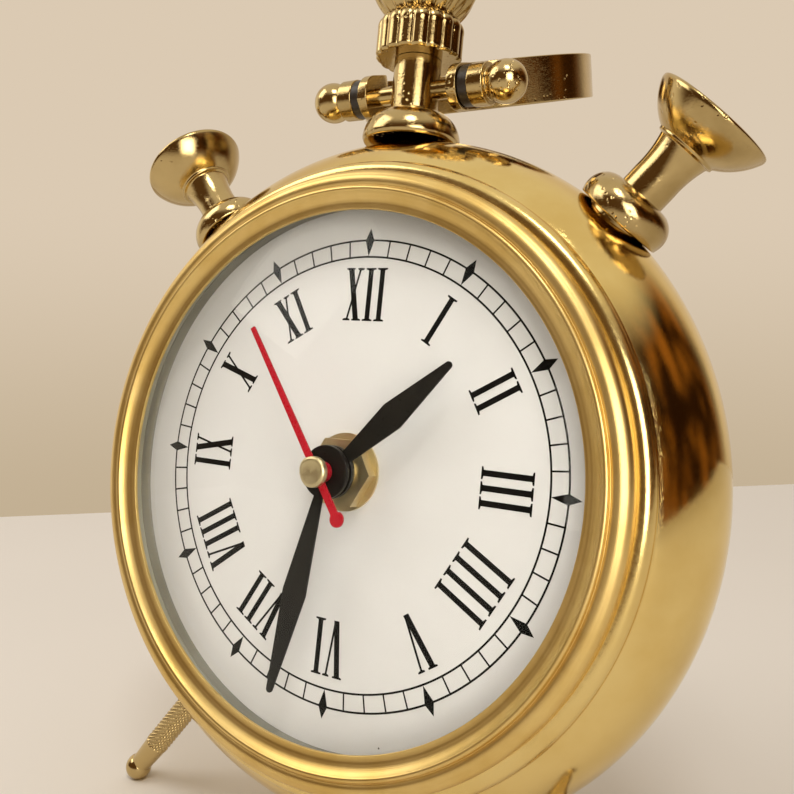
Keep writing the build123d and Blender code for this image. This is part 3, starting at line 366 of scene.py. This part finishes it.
def paint(name, light, dark, roughness, scale=400, depth=0.1, coat=0.0, specular=0.5):
    """Paint, plastic or rubber with a fine grain and a slight change of shade."""
    mat, tn, tl, bsdf = shader(name)
    c = coords(tn)
    shade = ramp(tn, tl, noise(tn, tl, c, scale / 6, 4), 0.3, 0.7)
    tl.new(mixed(tn, tl, shade, light, dark), bsdf.inputs["Base Color"])
    grain = noise(tn, tl, c, scale * 6, 2)
    tl.new(ramp(tn, tl, grain, 0.3, 0.7, roughness * 0.85, roughness * 1.15), bsdf.inputs["Roughness"])
    bsdf.inputs["Coat Weight"].default_value = coat
    bsdf.inputs["Specular IOR Level"].default_value = specular
    bump(tn, tl, bsdf, grain, depth, 0.0001)
    return mat


def metal(name, light, dark, roughness):
    """Plain machined metal with fine streaks."""
    mat, tn, tl, bsdf = shader(name)
    bsdf.inputs["Metallic"].default_value = 1.0
    c = coords(tn)
    shade = ramp(tn, tl, noise(tn, tl, c, 160, 4), 0.3, 0.7)
    tl.new(mixed(tn, tl, shade, light, dark), bsdf.inputs["Base Color"])
    streak = noise(tn, tl, c, 1800, 2)
    tl.new(ramp(tn, tl, streak, 0.3, 0.7, roughness * 0.8, roughness * 1.25), bsdf.inputs["Roughness"])
    bump(tn, tl, bsdf, streak, 0.02, 0.0001)
    return mat


def dial_white():
    """Warm white enamel with a few dark specks."""
    mat, tn, tl, bsdf = shader("dial_enamel")
    c = coords(tn)
    shade = ramp(tn, tl, noise(tn, tl, c, 30, 3), 0.3, 0.7)
    base = mixed(tn, tl, shade, (0.74, 0.71, 0.725), (0.71, 0.68, 0.69))
    cell = tn.new("ShaderNodeTexVoronoi")
    cell.inputs["Scale"].default_value = 150
    tl.new(c, cell.inputs["Vector"])
    rare = tn.new("ShaderNodeSeparateColor")
    tl.new(cell.outputs["Color"], rare.inputs["Color"])
    few = math_node(tn, tl, "GREATER_THAN", rare.outputs["Red"], 0.93)
    dot = math_node(tn, tl, "LESS_THAN", cell.outputs["Distance"], 0.028)
    speck = math_node(tn, tl, "MULTIPLY", few, dot)
    tl.new(mixed(tn, tl, speck, base, (0.08, 0.06, 0.05)), bsdf.inputs["Base Color"])
    bsdf.inputs["Roughness"].default_value = 0.42
    bump(tn, tl, bsdf, noise(tn, tl, c, 900, 2), 0.04, 0.0001)
    return mat


def clear_glass():
    """Clear glass, its wear in the roughness."""
    mat, tn, tl, bsdf = shader("crystal_clear")
    bsdf.inputs["Base Color"].default_value = (0.97, 1.0, 0.98, 1)
    bsdf.inputs["Transmission Weight"].default_value = 1.0
    bsdf.inputs["IOR"].default_value = 1.15
    c = coords(tn)
    tl.new(ramp(tn, tl, noise(tn, tl, c, 60, 4), 0.45, 0.8, 0.0, 0.035), bsdf.inputs["Roughness"])
    return mat


CASE = brass("case_brass", (0.84, 0.65, 0.27), (0.76, 0.55, 0.19), 0.08, waves=0.5, lip=(-0.0032, -0.0020))
PALE = brass("fitting_brass", (0.57, 0.43, 0.20), (0.37, 0.26, 0.10), 0.09, pits=0.9, scuffs=0.6, waves=0.45)
SATIN = satin_brass("bezel_brass", (0.80, 0.59, 0.23), (0.70, 0.48, 0.15))
GEAR = metal("cut_brass", (0.70, 0.58, 0.36), (0.61, 0.49, 0.28), 0.36)
STEEL = metal("plain_steel", (0.60, 0.60, 0.60), (0.48, 0.48, 0.49), 0.28)
COPPER = metal("wire_copper", (0.72, 0.36, 0.18), (0.55, 0.24, 0.10), 0.35)
BLACK = paint("hand_black", (0.008, 0.007, 0.006), (0.014, 0.012, 0.010), 0.32, specular=0.22)
RED = paint("hand_red", (0.46, 0.010, 0.022), (0.39, 0.008, 0.018), 0.30, specular=0.25)
MOULDED = paint("moulded_black", (0.018, 0.018, 0.019), (0.030, 0.030, 0.031), 0.5, depth=0.25)
NATURAL = paint("moulded_white", (0.80, 0.79, 0.74), (0.72, 0.71, 0.66), 0.4)
RUBBER = paint("seal_rubber", (0.38, 0.37, 0.32), (0.33, 0.32, 0.27), 0.6, depth=0.3)
WASHER = paint("washer_dark", (0.030, 0.022, 0.016), (0.060, 0.045, 0.030), 0.35, depth=0.3)
# Spacer ring: its own colour is a grey olive, and it is painted darker still as painted shade, the bezel's
# shadow falling on it
SHADED_SPACER = paint("spacer_olive_painted_shade", (0.25, 0.24, 0.21), (0.20, 0.19, 0.165), 0.42, specular=0.3)
BOARD = paint("board_green", (0.020, 0.13, 0.045), (0.030, 0.17, 0.060), 0.45, scale=900)
CELL = paint("cell_sleeve", (0.035, 0.09, 0.25), (0.045, 0.11, 0.29), 0.25, coat=0.4)
INK = paint("dial_ink", (0.004, 0.004, 0.004), (0.008, 0.007, 0.006), 0.45, specular=0.06)
DIAL = dial_white()
GLASS = clear_glass()

by_slot = {
    "polished_brass": PALE, "satin_brass": SATIN, "gear_brass": GEAR, "steel": STEEL, "copper_wire": COPPER,
    "crystal_glass": GLASS, "seal_rubber": RUBBER, "washer_black": WASHER, "spacer_grey": SHADED_SPACER,
    "dial_white": DIAL, "hand_black": BLACK, "hand_red": RED, "black_plastic": MOULDED,
    "white_plastic": NATURAL, "board_green": BOARD, "cell_skin": CELL,
}
slot_of = {part["node"]: part["material_slot"] for part in frame["record"]["subparts"]}
for name, node in nodes.items():
    node.data.materials.clear()
    node.data.materials.append(by_slot[slot_of[name]])

# Case drum: a thin shell with a rounded lip in front, profiled as (radius, depth behind the dial)
CASE_RADIUS, CASE_WALL = 68.4, 1.0
CASE_FRONT, CASE_REAR = -4.801, 30.339
FRONT_MOUTH, REAR_MOUTH = 55.5, 49.5
LIP = (60.4, -2.6)
shell = profile((FRONT_MOUTH, CASE_FRONT), (58.3, CASE_FRONT), ((59.77, -4.19), LIP), n=8)
shell += arc(LIP, (CASE_RADIUS, MID), (54.0, CASE_REAR), 72)
shell += [(REAR_MOUTH, CASE_REAR), (REAR_MOUTH, CASE_REAR - CASE_WALL)]
shell += profile((53.89, CASE_REAR - CASE_WALL),
                 ((CASE_RADIUS - CASE_WALL, MID), (55.80, CASE_FRONT + CASE_WALL)), n=64)
shell += [(FRONT_MOUTH, CASE_FRONT + CASE_WALL)]
turned("case_drum", shell, BACK, "clock", CASE, ("case_shell",), segments=288, round_size=0.35,
       own_axes=True)

# Front bezel: a cove, a bead, a groove and a rounded band, with a skirt into the case behind them
BEZEL_BORE, BEZEL_RIM, BAND_BACK = 50.0, 57.7, 4.81
SKIRT_OUT, SKIRT_IN, SKIRT_BACK = 55.4, 53.25, -2.4
bezel = profile(
    (BEZEL_BORE, 6.14), (BEZEL_BORE, 6.89),
    ((51.98, 7.25), (53.2, 8.19)),
    ((53.7, 8.44), (54.2, 8.14)),
    (54.4, 7.67), (54.7, 7.84),
    ((55.6, 8.01), (56.5, 7.67)),
    ((57.4, 6.99), (BEZEL_RIM, 6.14)),
    (BEZEL_RIM, BAND_BACK), (SKIRT_OUT, BAND_BACK), (SKIRT_OUT, SKIRT_BACK), (SKIRT_IN, SKIRT_BACK),
    (SKIRT_IN, 4.58), n=12)
turned("bezel_ring", bezel, FRONT, "clock", SATIN, ("front_bezel",), segments=288, round_size=0.16,
       own_axes=True)

# The crystal stays as made, and lets the light through to the dial
nodes["crystal"].visible_shadow = False

# Push buttons and their bases, heights measured from the drum's middle
BUTTON_ANGLE = 42
SEAT = 68.127
TOP = SEAT + 6.2
HEAD = TOP + 10.4
BARREL, BARREL_END, BARREL_FLOOR = 6.0, 53.93, 55.93
BORE, ROD_HOLE = 4.55, 2.05
bush = profile(
    (ROD_HOLE, BARREL_END), (BARREL, BARREL_END), (BARREL, SEAT), (8.7, SEAT), (9.0, SEAT + 1.24),
    ((8.03, SEAT + 4.71), (5.25, TOP)), (BORE, TOP), (BORE, BARREL_FLOOR), (ROD_HOLE, BARREL_FLOOR), n=16)
ROD, ROD_END = 2.0, TOP - 23.6
PISTON, PISTON_FOOT = 4.5, TOP - 5.6
button = profile(
    (0, ROD_END), (ROD, ROD_END), (ROD, PISTON_FOOT), (PISTON, PISTON_FOOT), (PISTON, TOP + 3.3),
    ((4.62, TOP + 7.0), (5.3, HEAD - 0.2)), (6.0, HEAD), (6.0, HEAD + 0.5),
    ((9.3, HEAD + 3.0), (11.7, HEAD + 6.7)), (11.7, HEAD + 7.4), (11.1, HEAD + 7.7),
    ((7.05, HEAD + 6.1), (3.0, HEAD + 5.7)), (0, HEAD + 5.7), n=16)
for side, name in SIDES:
    place = radial(BUTTON_ANGLE * side)
    turned(name + "_base", bush, place, "clock", PALE, (name + "_button_bush",), round_size=0.3)
    turned(name + "_plunger", button, place, name + "_pusher", PALE, (name + "_button",), closed=False,
           round_size=0.3)


def coil_mesh(name, radius, wire, low, high, turns):
    """Wire wound about z from low to high, both measured over the wire."""
    bm = bmesh.new()
    rows = []
    count = turns * 24
    sides = 8
    for k in range(count + 1):
        t = 2 * math.pi * turns * k / count
        s = low + wire + (high - low - 2 * wire) * k / count
        out = Vector((math.cos(t), math.sin(t), 0))
        row = []
        for j in range(sides):
            a = 2 * math.pi * j / sides
            rim = out * (radius + wire * math.cos(a)) + Vector((0, 0, s + wire * math.sin(a)))
            row.append(bm.verts.new(rim * MM))
        rows.append(row)
    skin(bm, rows)
    return finished_mesh(name, bm)


# Springs, one coil of wire under each button
SPRING_LOW, SPRING_HIGH = 56.0, TOP - 5.7
COIL_RADIUS, WIRE_RADIUS, COIL_TURNS = 3.1, 0.45, 6
for side, name in SIDES:
    place = radial(BUTTON_ANGLE * side)
    coil = coil_mesh(name + "_coil", COIL_RADIUS, WIRE_RADIUS, SPRING_LOW, SPRING_HIGH, COIL_TURNS)
    spring = new_object(name + "_coil", coil, place, "clock", STEEL, (name + "_button_spring",))
    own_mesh(spring)

# Neck, collar and crown
upright = radial(0)
NECK = 68.351
saucer = profile(
    (2.6, NECK), (9.89, NECK), (10.3, NECK + 0.8),
    ((9.03, NECK + 4.64), (5.0, NECK + 7.0)), (2.6, NECK + 7.0), n=16)
turned("neck_saucer", saucer, upright, "clock", PALE, ("neck_flange",), round_size=0.3)
COLLAR = NECK + 18.35
CROWN = COLLAR + 9.0


def collar_wave(r, s, t):
    """Eighteen flutes on the collar's outside."""
    if r < 6:
        return r
    return r - 0.55 * (1 - abs(math.cos(9 * t)) ** 0.6)


STUD_HOLE = 2.55
CROWN_FOOT, CROWN_BALL, CROWN_LID = 7.0, 11.7, 5.2
collar = profile(
    (STUD_HOLE, COLLAR), (8.7, COLLAR), (9.2, COLLAR + 0.5), (9.2, CROWN - 3.2),
    ((8.65, CROWN - 0.96), (CROWN_FOOT, CROWN)), (STUD_HOLE, CROWN), n=12)
collar = subdivide(collar + [collar[0]], 0.6)[:-1]
turned("fluted_collar", collar, upright, "crown_head", PALE, ("crown_collar",), segments=288,
       round_size=0.25, wave=collar_wave)
BALL = CROWN + math.sqrt(CROWN_BALL ** 2 - CROWN_FOOT ** 2)


def crown_wave(r, s, t):
    """Fourteen lobes on the crown, fading out towards its ends."""
    if r < 5.4:
        return r
    lobe = abs(math.cos(7 * t)) ** 0.6
    return r - (1 - lobe) * min(1.0, (r - 5.0) / 3.0)


crown_top = BALL + math.sqrt(CROWN_BALL ** 2 - CROWN_LID ** 2)
crown = profile((0, CROWN + 12.0), (STUD_HOLE, CROWN + 12.0), (STUD_HOLE, CROWN), (CROWN_FOOT, CROWN))
crown += arc((CROWN_FOOT, CROWN), (CROWN_BALL, BALL), (CROWN_LID, crown_top), 48)
crown += profile((2.6, crown_top), (2.4, crown_top + 1.2), (2.08, crown_top + 1.6), (0, crown_top + 1.6))
turned("onion_crown", crown, upright, "crown_head", PALE, ("crown",), segments=280, closed=False,
       round_size=0.2, wave=crown_wave)

# Bow, its screws and its washers
PIVOT = NECK + 11.6
pivot_place = upright @ Matrix.Translation((0, 0, PIVOT * MM))
nodes["bow_washers"].data.materials[0] = WASHER
screw = profile(
    (0, 3.2), (2.0, 3.2), (2.0, 13.9), (4.35, 13.9), (4.35, 17.4), (3.2, 17.4), (3.2, 17.9),
    ((4.4, 20.92), (0, 25.32)), n=28)
for side, name in SIDES:
    place = pivot_place @ Matrix.Rotation(math.radians(90 * side), 4, "Y")
    stands = ("bow_screws",) if side == 1 else ()
    turned(name + "_bow_screw", screw, place, "clock", PALE, stands, segments=96, closed=False,
           round_size=0.3)


def bow_mesh():
    """Flat band bent to a ring with two ears, its edges eased, standing up about its pivot."""
    ring, center, bend, ear = 25.95, 29.5, 3.0, 10.65
    half_band, half_thick, ease, least = 4.8, 1.05, 0.28, 0.4
    side = ear + bend
    bend_height = center - math.sqrt((ring + bend) ** 2 - side ** 2)
    join = math.atan2(bend_height - center, side)
    path = []
    for k in range(13):
        z = -half_band + (bend_height + half_band) * k / 12
        round_end = math.sqrt(max(half_band ** 2 - z ** 2, least ** 2))
        path.append((ear, z, half_band if z >= 0 else round_end))
    for k in range(1, 9):
        t = math.pi + join * k / 8
        path.append((side + bend * math.cos(t), bend_height + bend * math.sin(t), half_band))
    for k in range(1, 65):
        t = join + (math.pi / 2 - join) * k / 64
        path.append((ring * math.cos(t), center + ring * math.sin(t), half_band))
    path += [(-x, z, half_w) for x, z, half_w in reversed(path[:-1])]
    bm = bmesh.new()
    rows = []
    for i, (x, z, half_w) in enumerate(path):
        a = path[max(i - 1, 0)]
        b = path[min(i + 1, len(path) - 1)]
        tangent = Vector((b[0] - a[0], 0, b[1] - a[1])).normalized()
        normal = Vector((tangent.z, 0, -tangent.x))
        corner = [(half_thick, half_w - ease), (half_thick - 0.3 * ease, half_w - 0.3 * ease),
                  (half_thick - ease, half_w)]
        half = corner + [(-u, v) for u, v in reversed(corner)]
        section = half + [(-u, -v) for u, v in half]
        middle = Vector((x, 0, z))
        rows.append([bm.verts.new((middle + normal * u + Vector((0, v, 0))) * MM) for u, v in section])
    skin(bm, rows)
    return finished_mesh("bow_band", bm)


BOW_LEAN = -68
bow_place = pivot_place @ Matrix.Rotation(math.radians(BOW_LEAN), 4, "X")
weighted(new_object("bow_band", bow_mesh(), bow_place, "bow_loop", PALE, ("bow",)))


# Legs, knurled down to a plain tip with a ball foot
KNURL_RADIUS, ANKLE_RADIUS, FOOT_RADIUS = 2.7, 2.3, 2.9
THREAD_RADIUS, THREAD_LENGTH = 2.0, 8
TIP_LENGTH = 8.1
KNURL_DEPTH, KNURL_STARTS, KNURL_PITCH = 0.34, 16, 1.1


def leg_points(length):
    """Profile of a leg as long as this from the case to its foot's middle, and where its knurl ends."""
    knurl_end = length - TIP_LENGTH
    ankle = length - math.sqrt(FOOT_RADIUS ** 2 - ANKLE_RADIUS ** 2)
    head = [(0, -THREAD_LENGTH), (THREAD_RADIUS, -THREAD_LENGTH), (THREAD_RADIUS, 0), (2.6, 0),
            (KNURL_RADIUS, 0.15)]
    knurl = [(KNURL_RADIUS, 0.15 + (knurl_end - 0.3) * k / 120) for k in range(1, 121)]
    tip = profile((2.62, knurl_end), (2.62, knurl_end + 0.2), (ANKLE_RADIUS, ankle))
    ball = arc((ANKLE_RADIUS, ankle), (FOOT_RADIUS, length), (0, length + FOOT_RADIUS), 24)
    return head + knurl + tip + ball, knurl_end


def knurled(knurl_end):
    """Crossed grooves down to knurl_end, fading out at both ends."""
    def wave(r, s, t):
        if s < 0.1 or s > knurl_end - 0.1 or r < 2.65:
            return r
        around, along = KNURL_STARTS * t / math.pi / 2, s / KNURL_PITCH
        a = abs(((around + along) % 1.0) * 2 - 1)
        b = abs(((around - along) % 1.0) * 2 - 1)
        fade = min(1.0, (s - 0.1) / 0.5, (knurl_end - 0.1 - s) / 0.5)
        return r - KNURL_DEPTH * fade * max(1 - 1.8 * a, 1 - 1.8 * b, 0.0)
    return wave


def flat_foot(mesh):
    """Flattens the ball where it stands on the table."""
    for v in mesh.vertices:
        v.co.z = max(v.co.z, 0.0)


def add_leg(name, length, place):
    """Adds a leg whose z runs down from its seat on the case."""
    points, knurl_end = leg_points(length)
    leg = turned(name + "_knurled_leg", points, place, "clock", PALE, (name + "_leg",), segments=128,
                 closed=False, round_size=0, wave=knurled(knurl_end))
    flat_foot(leg.data)


LEG_SEAT, LEG_ANGLE, LEG_LENGTH = 68.368, 142, 26.4
for side, name in SIDES:
    add_leg(name, LEG_LENGTH, radial(LEG_ANGLE * side) @ Matrix.Translation((0, 0, LEG_SEAT * MM)))
REAR_LENGTH, REAR_SEAT, REAR_DROP = 20.853, 18.2329, 50.15
rear_lean = math.radians(62)
rear_depth = MID + REAR_SEAT * math.sin(rear_lean)
rear_height = -REAR_DROP - REAR_SEAT * math.cos(rear_lean)
add_leg("rear", REAR_LENGTH, CLOCK @ Matrix.Translation((0, rear_depth * MM, rear_height * MM))
        @ Matrix.Rotation(math.pi + rear_lean, 4, "X"))


# Hands with eased edges
def plate_mesh(name, outline, low, high):
    """Flat plate from an (x, z) outline, its front at y = low and its back at y = high."""
    bm = bmesh.new()
    front = [bm.verts.new((x * MM, low * MM, z * MM)) for x, z in outline]
    back = [bm.verts.new((x * MM, high * MM, z * MM)) for x, z in outline]
    bm.faces.new(front)
    bm.faces.new(list(reversed(back)))
    for k in range(len(front)):
        n = (k + 1) % len(front)
        bm.faces.new((front[k], back[k], back[n], front[n]))
    return finished_mesh(name, bm, smooth=False)


def eased(obj, width):
    """Rounds the edges of a plate."""
    mod = obj.modifiers.new("eased", "BEVEL")
    mod.width = width * MM
    mod.segments = 2
    mod.limit_method = "ANGLE"
    mod.angle_limit = math.radians(35)
    mod.harden_normals = False
    return weighted(obj)


def kite(length, belly_at, belly, root, tip):
    """Outline of a hand: a slim root, a belly and a rounded tip, with their widths."""
    side = [(root / 2, 3.0), (root / 2, 5.0), (belly / 2, belly_at), (tip / 2, length - tip / 2)]
    end = [(tip / 2 * math.cos(t), length - tip / 2 + tip / 2 * math.sin(t))
           for t in (math.pi * k / 10 for k in range(1, 10))]
    return side + end + [(-x, z) for x, z in reversed(side)]


HAND_THICK, HUB_RADIUS, HUB_DEPTH = 0.5, 5.0, 1.1
for name, shape, turn, front, bore in (
    ("hour", kite(32.0, 16.9, 5.5, 2.7, 1.4), 47.3, 5.5, 2.55),
    ("minute", kite(42.6, 23.3, 5.3, 2.0, 1.4), 190.5, 7.2, 1.70),
):
    body = name + "_train"
    place = CLOCK @ Matrix.Rotation(math.radians(turn), 4, "Y")
    blade = plate_mesh(name + "_blade", shape, -front, HAND_THICK - front)
    eased(new_object(name + "_blade", blade, place, body, BLACK), 0.10)
    back = front - HUB_DEPTH
    hub = profile((bore, back), (HUB_RADIUS, back), (HUB_RADIUS, front), (bore, front))
    turned(name + "_hub", hub, FRONT, body, BLACK, (name + "_hand",), segments=96)

SECOND_TURN, SECOND_FRONT = 325, 10.0
WEIGHT_RADIUS, WEIGHT_AT = 1.45, -9.7
around = [math.radians(a) for a in range(131, 410, 15)]
bar = [(0.75, 0.0), (0.5, 32.0), (-0.5, 32.0), (-0.75, 0.0), (-0.75, -8.6)]
bar += [(WEIGHT_RADIUS * math.cos(t), WEIGHT_AT + WEIGHT_RADIUS * math.sin(t)) for t in around]
bar += [(0.75, -8.6)]
place = CLOCK @ Matrix.Rotation(math.radians(SECOND_TURN), 4, "Y")
blade = plate_mesh("second_blade", bar, -SECOND_FRONT, HAND_THICK - SECOND_FRONT)
eased(new_object("second_blade", blade, place, "seconds_train", RED, ("second_hand",)), 0.08)
red_collar = profile((0.75, 7.3), (1.95, 7.3), (2.1, SECOND_FRONT), (0.75, SECOND_FRONT))
turned("second_collar", red_collar, FRONT, "seconds_train", RED, segments=64)
cap = profile((0.7, SECOND_FRONT), (2.85, SECOND_FRONT), (2.85, 11.1), ((2.6, 11.34), (1.9, 11.4)), (0, 11.4),
              (0, 10.7), (0.7, 10.7))
turned("second_cap", cap, FRONT, "seconds_train", GEAR, ("second_hand_cap",), segments=96)
for name in ("shaft_nut", "front_washer", "center_bush"):
    nodes[name].data.materials[0] = GEAR


# Dial print: a minute track, diamonds at the hours and Roman numerals, set a little askew as in the photo
PRINT_RISE = 0.55
PRINT_SHIFT = 0.27
PRINT_SCALE = 0.994
PRINT_TURN = 0.43
PRINT_LIFT = 0.03
ink_verts = []
ink_faces = []


def ink(points, turn=0.0):
    """Adds a flat printed patch given by (x, z) points, turned clockwise about the dial's middle."""
    turn = math.radians(turn + PRINT_TURN)
    c, s = math.cos(turn), math.sin(turn)
    start = len(ink_verts)
    for x, z in points:
        px = (x * c + z * s) * PRINT_SCALE + PRINT_SHIFT
        pz = (z * c - x * s) * PRINT_SCALE + PRINT_RISE
        ink_verts.append((px * MM, -PRINT_LIFT * MM, pz * MM))
    ink_faces.append(list(range(start, len(ink_verts))))


def circle_line(radius, width, count=360):
    inner, outer = radius - width / 2, radius + width / 2
    for k in range(count):
        a, b = 2 * math.pi * k / count, 2 * math.pi * (k + 1) / count
        ink([(r * math.sin(t), r * math.cos(t)) for r, t in ((inner, a), (outer, a), (outer, b), (inner, b))])


def stroke(x0, z0, x1, z1, width):
    """Stroke between two points, cut level at both."""
    half = width / 2
    return [(x0 - half, z0), (x0 + half, z0), (x1 + half, z1), (x1 - half, z1)]


def serif(x, z, width, inward):
    """Slab serif with bracketed shoulders, inward being the side its stem is on."""
    return [(x - width / 2, z), (x + width / 2, z), (x + width / 2, z + inward * 0.30),
            (x + 0.25 * width, z + inward * 0.46), (x - 0.25 * width, z + inward * 0.46),
            (x - width / 2, z + inward * 0.30)]


def letter(kind, x, low, high):
    """Patches of one letter whose left edge is at x, and its width."""
    if kind == "I":
        mid = x + 1.15
        return [stroke(mid, low, mid, high, 1.1), serif(mid, low, 2.3, 1), serif(mid, high, 2.3, -1)], 2.3
    if kind == "V":
        foot = x + 2.35
        return [stroke(foot, low, x + 1.15, high, 1.2), stroke(foot + 0.2, low, x + 3.75, high, 0.45),
                serif(x + 1.15, high, 2.1, -1), serif(x + 3.75, high, 1.5, -1)], 4.5
    return [stroke(x + 3.2, low, x + 1.1, high, 1.25), stroke(x + 1.0, low, x + 3.4, high, 0.45),
            serif(x + 1.05, high, 2.0, -1), serif(x + 3.45, high, 1.5, -1),
            serif(x + 0.95, low, 1.7, 1), serif(x + 3.25, low, 2.1, 1)], 4.3


def numeral(text, angle, low, high, gap):
    """Prints a numeral at this angle, its foot at radius low and its top at radius high."""
    x = 0.0
    patches = []
    for kind in text:
        made, width = letter(kind, x, low, high)
        patches += made
        x += width + gap
    shift = (x - gap) / 2
    for patch in patches:
        ink([(px - shift, pz) for px, pz in patch], angle)


TRACK_IN, TRACK_OUT = 41.7, 45.0
RING_WIDTH, TICK_WIDTH = 0.38, 0.34
circle_line(TRACK_OUT, RING_WIDTH)
circle_line(TRACK_IN, RING_WIDTH)
for minute in range(60):
    if minute % 5:
        ink(stroke(0, TRACK_IN, 0, TRACK_OUT, TICK_WIDTH), 6 * minute)
    else:
        ink([(0, 41.8), (1.0, TRACK_OUT), (0, 47.3), (-1.0, TRACK_OUT)], 6 * minute)
hours = (
    ("XII", 29.0, 39.5), ("I", 29.1, 39.1), ("II", 29.65, 39.06), ("III", 28.5, 38.65),
    ("IIII", 27.9, 39.06), ("V", 29.4, 39.8), ("VI", 28.8, 39.4), ("VII", 28.85, 38.7),
    ("VIII", 29.25, 39.3), ("IX", 29.4, 39.5), ("X", 29.6, 39.3), ("XI", 29.3, 38.8),
)
V_ANGLE = 146.9  # the photo's V stands off its place at 150 degrees
LETTER_GAP, WIDE_GAP = 0.36, 0.75
for hour, (text, low, high) in enumerate(hours):
    angle = V_ANGLE if text == "V" else 30 * hour
    numeral(text, angle, low, high, WIDE_GAP if text == "IIII" else LETTER_GAP)
print_mesh = bpy.data.meshes.new("dial_print")
print_mesh.from_pydata(ink_verts, [], ink_faces)
new_object("dial_print", print_mesh, CLOCK, "clock", INK)

# Camera, from the photo's perspective: focal length and optical centre in pixels of the photo
PICTURE, FOCAL = 794, 893.27
CENTER_X, CENTER_Y = 391.67, 357.12
eye = CLOCK @ Vector((0.09651, -0.14466, 0.01045))
turn = CLOCK.to_3x3()
right = turn @ Vector((0.8524, 0.5147, 0.0922))
down = turn @ Vector((0.0415, 0.1092, -0.9932))
ahead = turn @ Vector((-0.5212, 0.8504, 0.0717))
camera = bpy.data.cameras.new("camera")
camera.sensor_width = 36.0
camera.lens = FOCAL / PICTURE * camera.sensor_width
camera.shift_x = (PICTURE / 2 - CENTER_X) / PICTURE
camera.shift_y = (CENTER_Y - PICTURE / 2) / PICTURE
camera.clip_start = 0.005
viewer = bpy.data.objects.new("camera", camera)
bpy.context.scene.collection.objects.link(viewer)
basis = Matrix((right, -down, -ahead)).transposed()
viewer.matrix_world = Matrix.Translation(eye) @ basis.to_4x4()
bpy.context.scene.camera = viewer


def on_table(px, py):
    """Point of the table seen at this pixel."""
    ray = right * ((px - CENTER_X) / FOCAL) + down * ((py - CENTER_Y) / FOCAL) + ahead
    return eye + ray * (-eye.z / ray.z)


# Table: its far edge follows the line where the photo's table meets the wall
WALL_ROW_LEFT, WALL_ROW_RIGHT = 517, 484
far_left = on_table(0, WALL_ROW_LEFT)
far_right = on_table(PICTURE, WALL_ROW_RIGHT)
edge = (far_right - far_left).normalized()
toward = Vector((edge.y, -edge.x, 0))
middle = (far_left + far_right) / 2
TABLE_HALF, TABLE_DEEP = 4, 4  # metres
left_end, right_end = middle - edge * TABLE_HALF, middle + edge * TABLE_HALF
corners = [left_end, right_end, right_end + toward * TABLE_DEEP, left_end + toward * TABLE_DEEP]
table_mesh = bpy.data.meshes.new("table")
table_mesh.from_pydata([tuple(c) for c in corners], [], [(0, 1, 2, 3)])
table_mat, tn, tl, bsdf = shader("table_white")
cloud = ramp(tn, tl, noise(tn, tl, coords(tn), 3, 3), 0.3, 0.7)
table_color = mixed(tn, tl, cloud, (0.86, 0.84, 0.82), (0.83, 0.81, 0.79))
tl.new(table_color, bsdf.inputs["Base Color"])
bsdf.inputs["Roughness"].default_value = 0.60
bsdf.inputs["Specular IOR Level"].default_value = 0.05
table_mesh.materials.append(table_mat)
table = bpy.data.objects.new("table", table_mesh)
bpy.context.scene.collection.objects.link(table)

# World: a plain room, cream behind the clock, brown to its right and in front of it, with a pale ceiling
world = bpy.data.worlds.new("room")
bpy.context.scene.world = world
world.use_nodes = True
wn, wl = world.node_tree.nodes, world.node_tree.links
background = wn["Background"]
toward_room = wn.new("ShaderNodeTexCoord").outputs["Generated"]


def facing(direction, low, high):
    """One towards this direction, fading to nothing away from it."""
    node = wn.new("ShaderNodeVectorMath")
    node.operation = "DOT_PRODUCT"
    wl.new(toward_room, node.inputs[0])
    node.inputs[1].default_value = Vector(direction).normalized()
    return ramp(wn, wl, node.outputs["Value"], low, high)


room = mixed(wn, wl, facing((0, 0, 1), -0.26, 0.10), (0.54, 0.43, 0.29), (0.71, 0.59, 0.45))
room = mixed(wn, wl, facing((-1, -0.05, 0.1), 0.82, 0.97), room, (0.95, 0.85, 0.70))
room = mixed(wn, wl, facing((0.1, -1, 0.05), -0.05, 0.45), room, (0.13, 0.070, 0.028))
tall = wn.new("ShaderNodeMapping")
tall.inputs["Scale"].default_value = (1, 1, 0.45)
wl.new(toward_room, tall.inputs["Vector"])
streaks = ramp(wn, wl, noise(wn, wl, tall.outputs["Vector"], 6, 3), 0.42, 0.68)
furniture = mixed(wn, wl, streaks, (0.020, 0.007, 0.002), (0.32, 0.12, 0.022))
room = mixed(wn, wl, facing((1, 0.20, 0.1), 0.50, 0.80), room, furniture)
room = mixed(wn, wl, facing((0, 0, 1), 0.60, 0.85), room, (0.80, 0.72, 0.60))
wl.new(room, background.inputs["Color"])
background.inputs["Strength"].default_value = 1.0


def lamp(name, place, target, size, power, color):
    """Adds a rectangular lamp that faces target."""
    data = bpy.data.lights.new(name, "AREA")
    data.shape = "RECTANGLE"
    data.size, data.size_y = size
    data.energy = power
    data.color = color
    obj = bpy.data.objects.new(name, data)
    bpy.context.scene.collection.objects.link(obj)
    obj.location = place
    obj.rotation_euler = (Vector(target) - Vector(place)).to_track_quat("-Z", "Y").to_euler()
    return obj


WARM = (1.0, 0.96, 0.90)
lamp("key", (-0.85, -0.48, 0.95), (0, 0, 0.08), (0.70, 0.70), 4.2, WARM)
lamp("top_lamp", (0.28, -0.46, 1.12), (0, 0, 0.08), (0.30, 0.30), 2.8, WARM)
strip = lamp("right_strip", (0.60, -0.67, 0.33), (0, 0, 0.10), (0.45, 0.55), 4.8, (1.0, 0.95, 0.86))
strip.visible_diffuse = False  # shows in the brass and through the glass only

bpy.context.scene.view_settings.view_transform = "Standard"
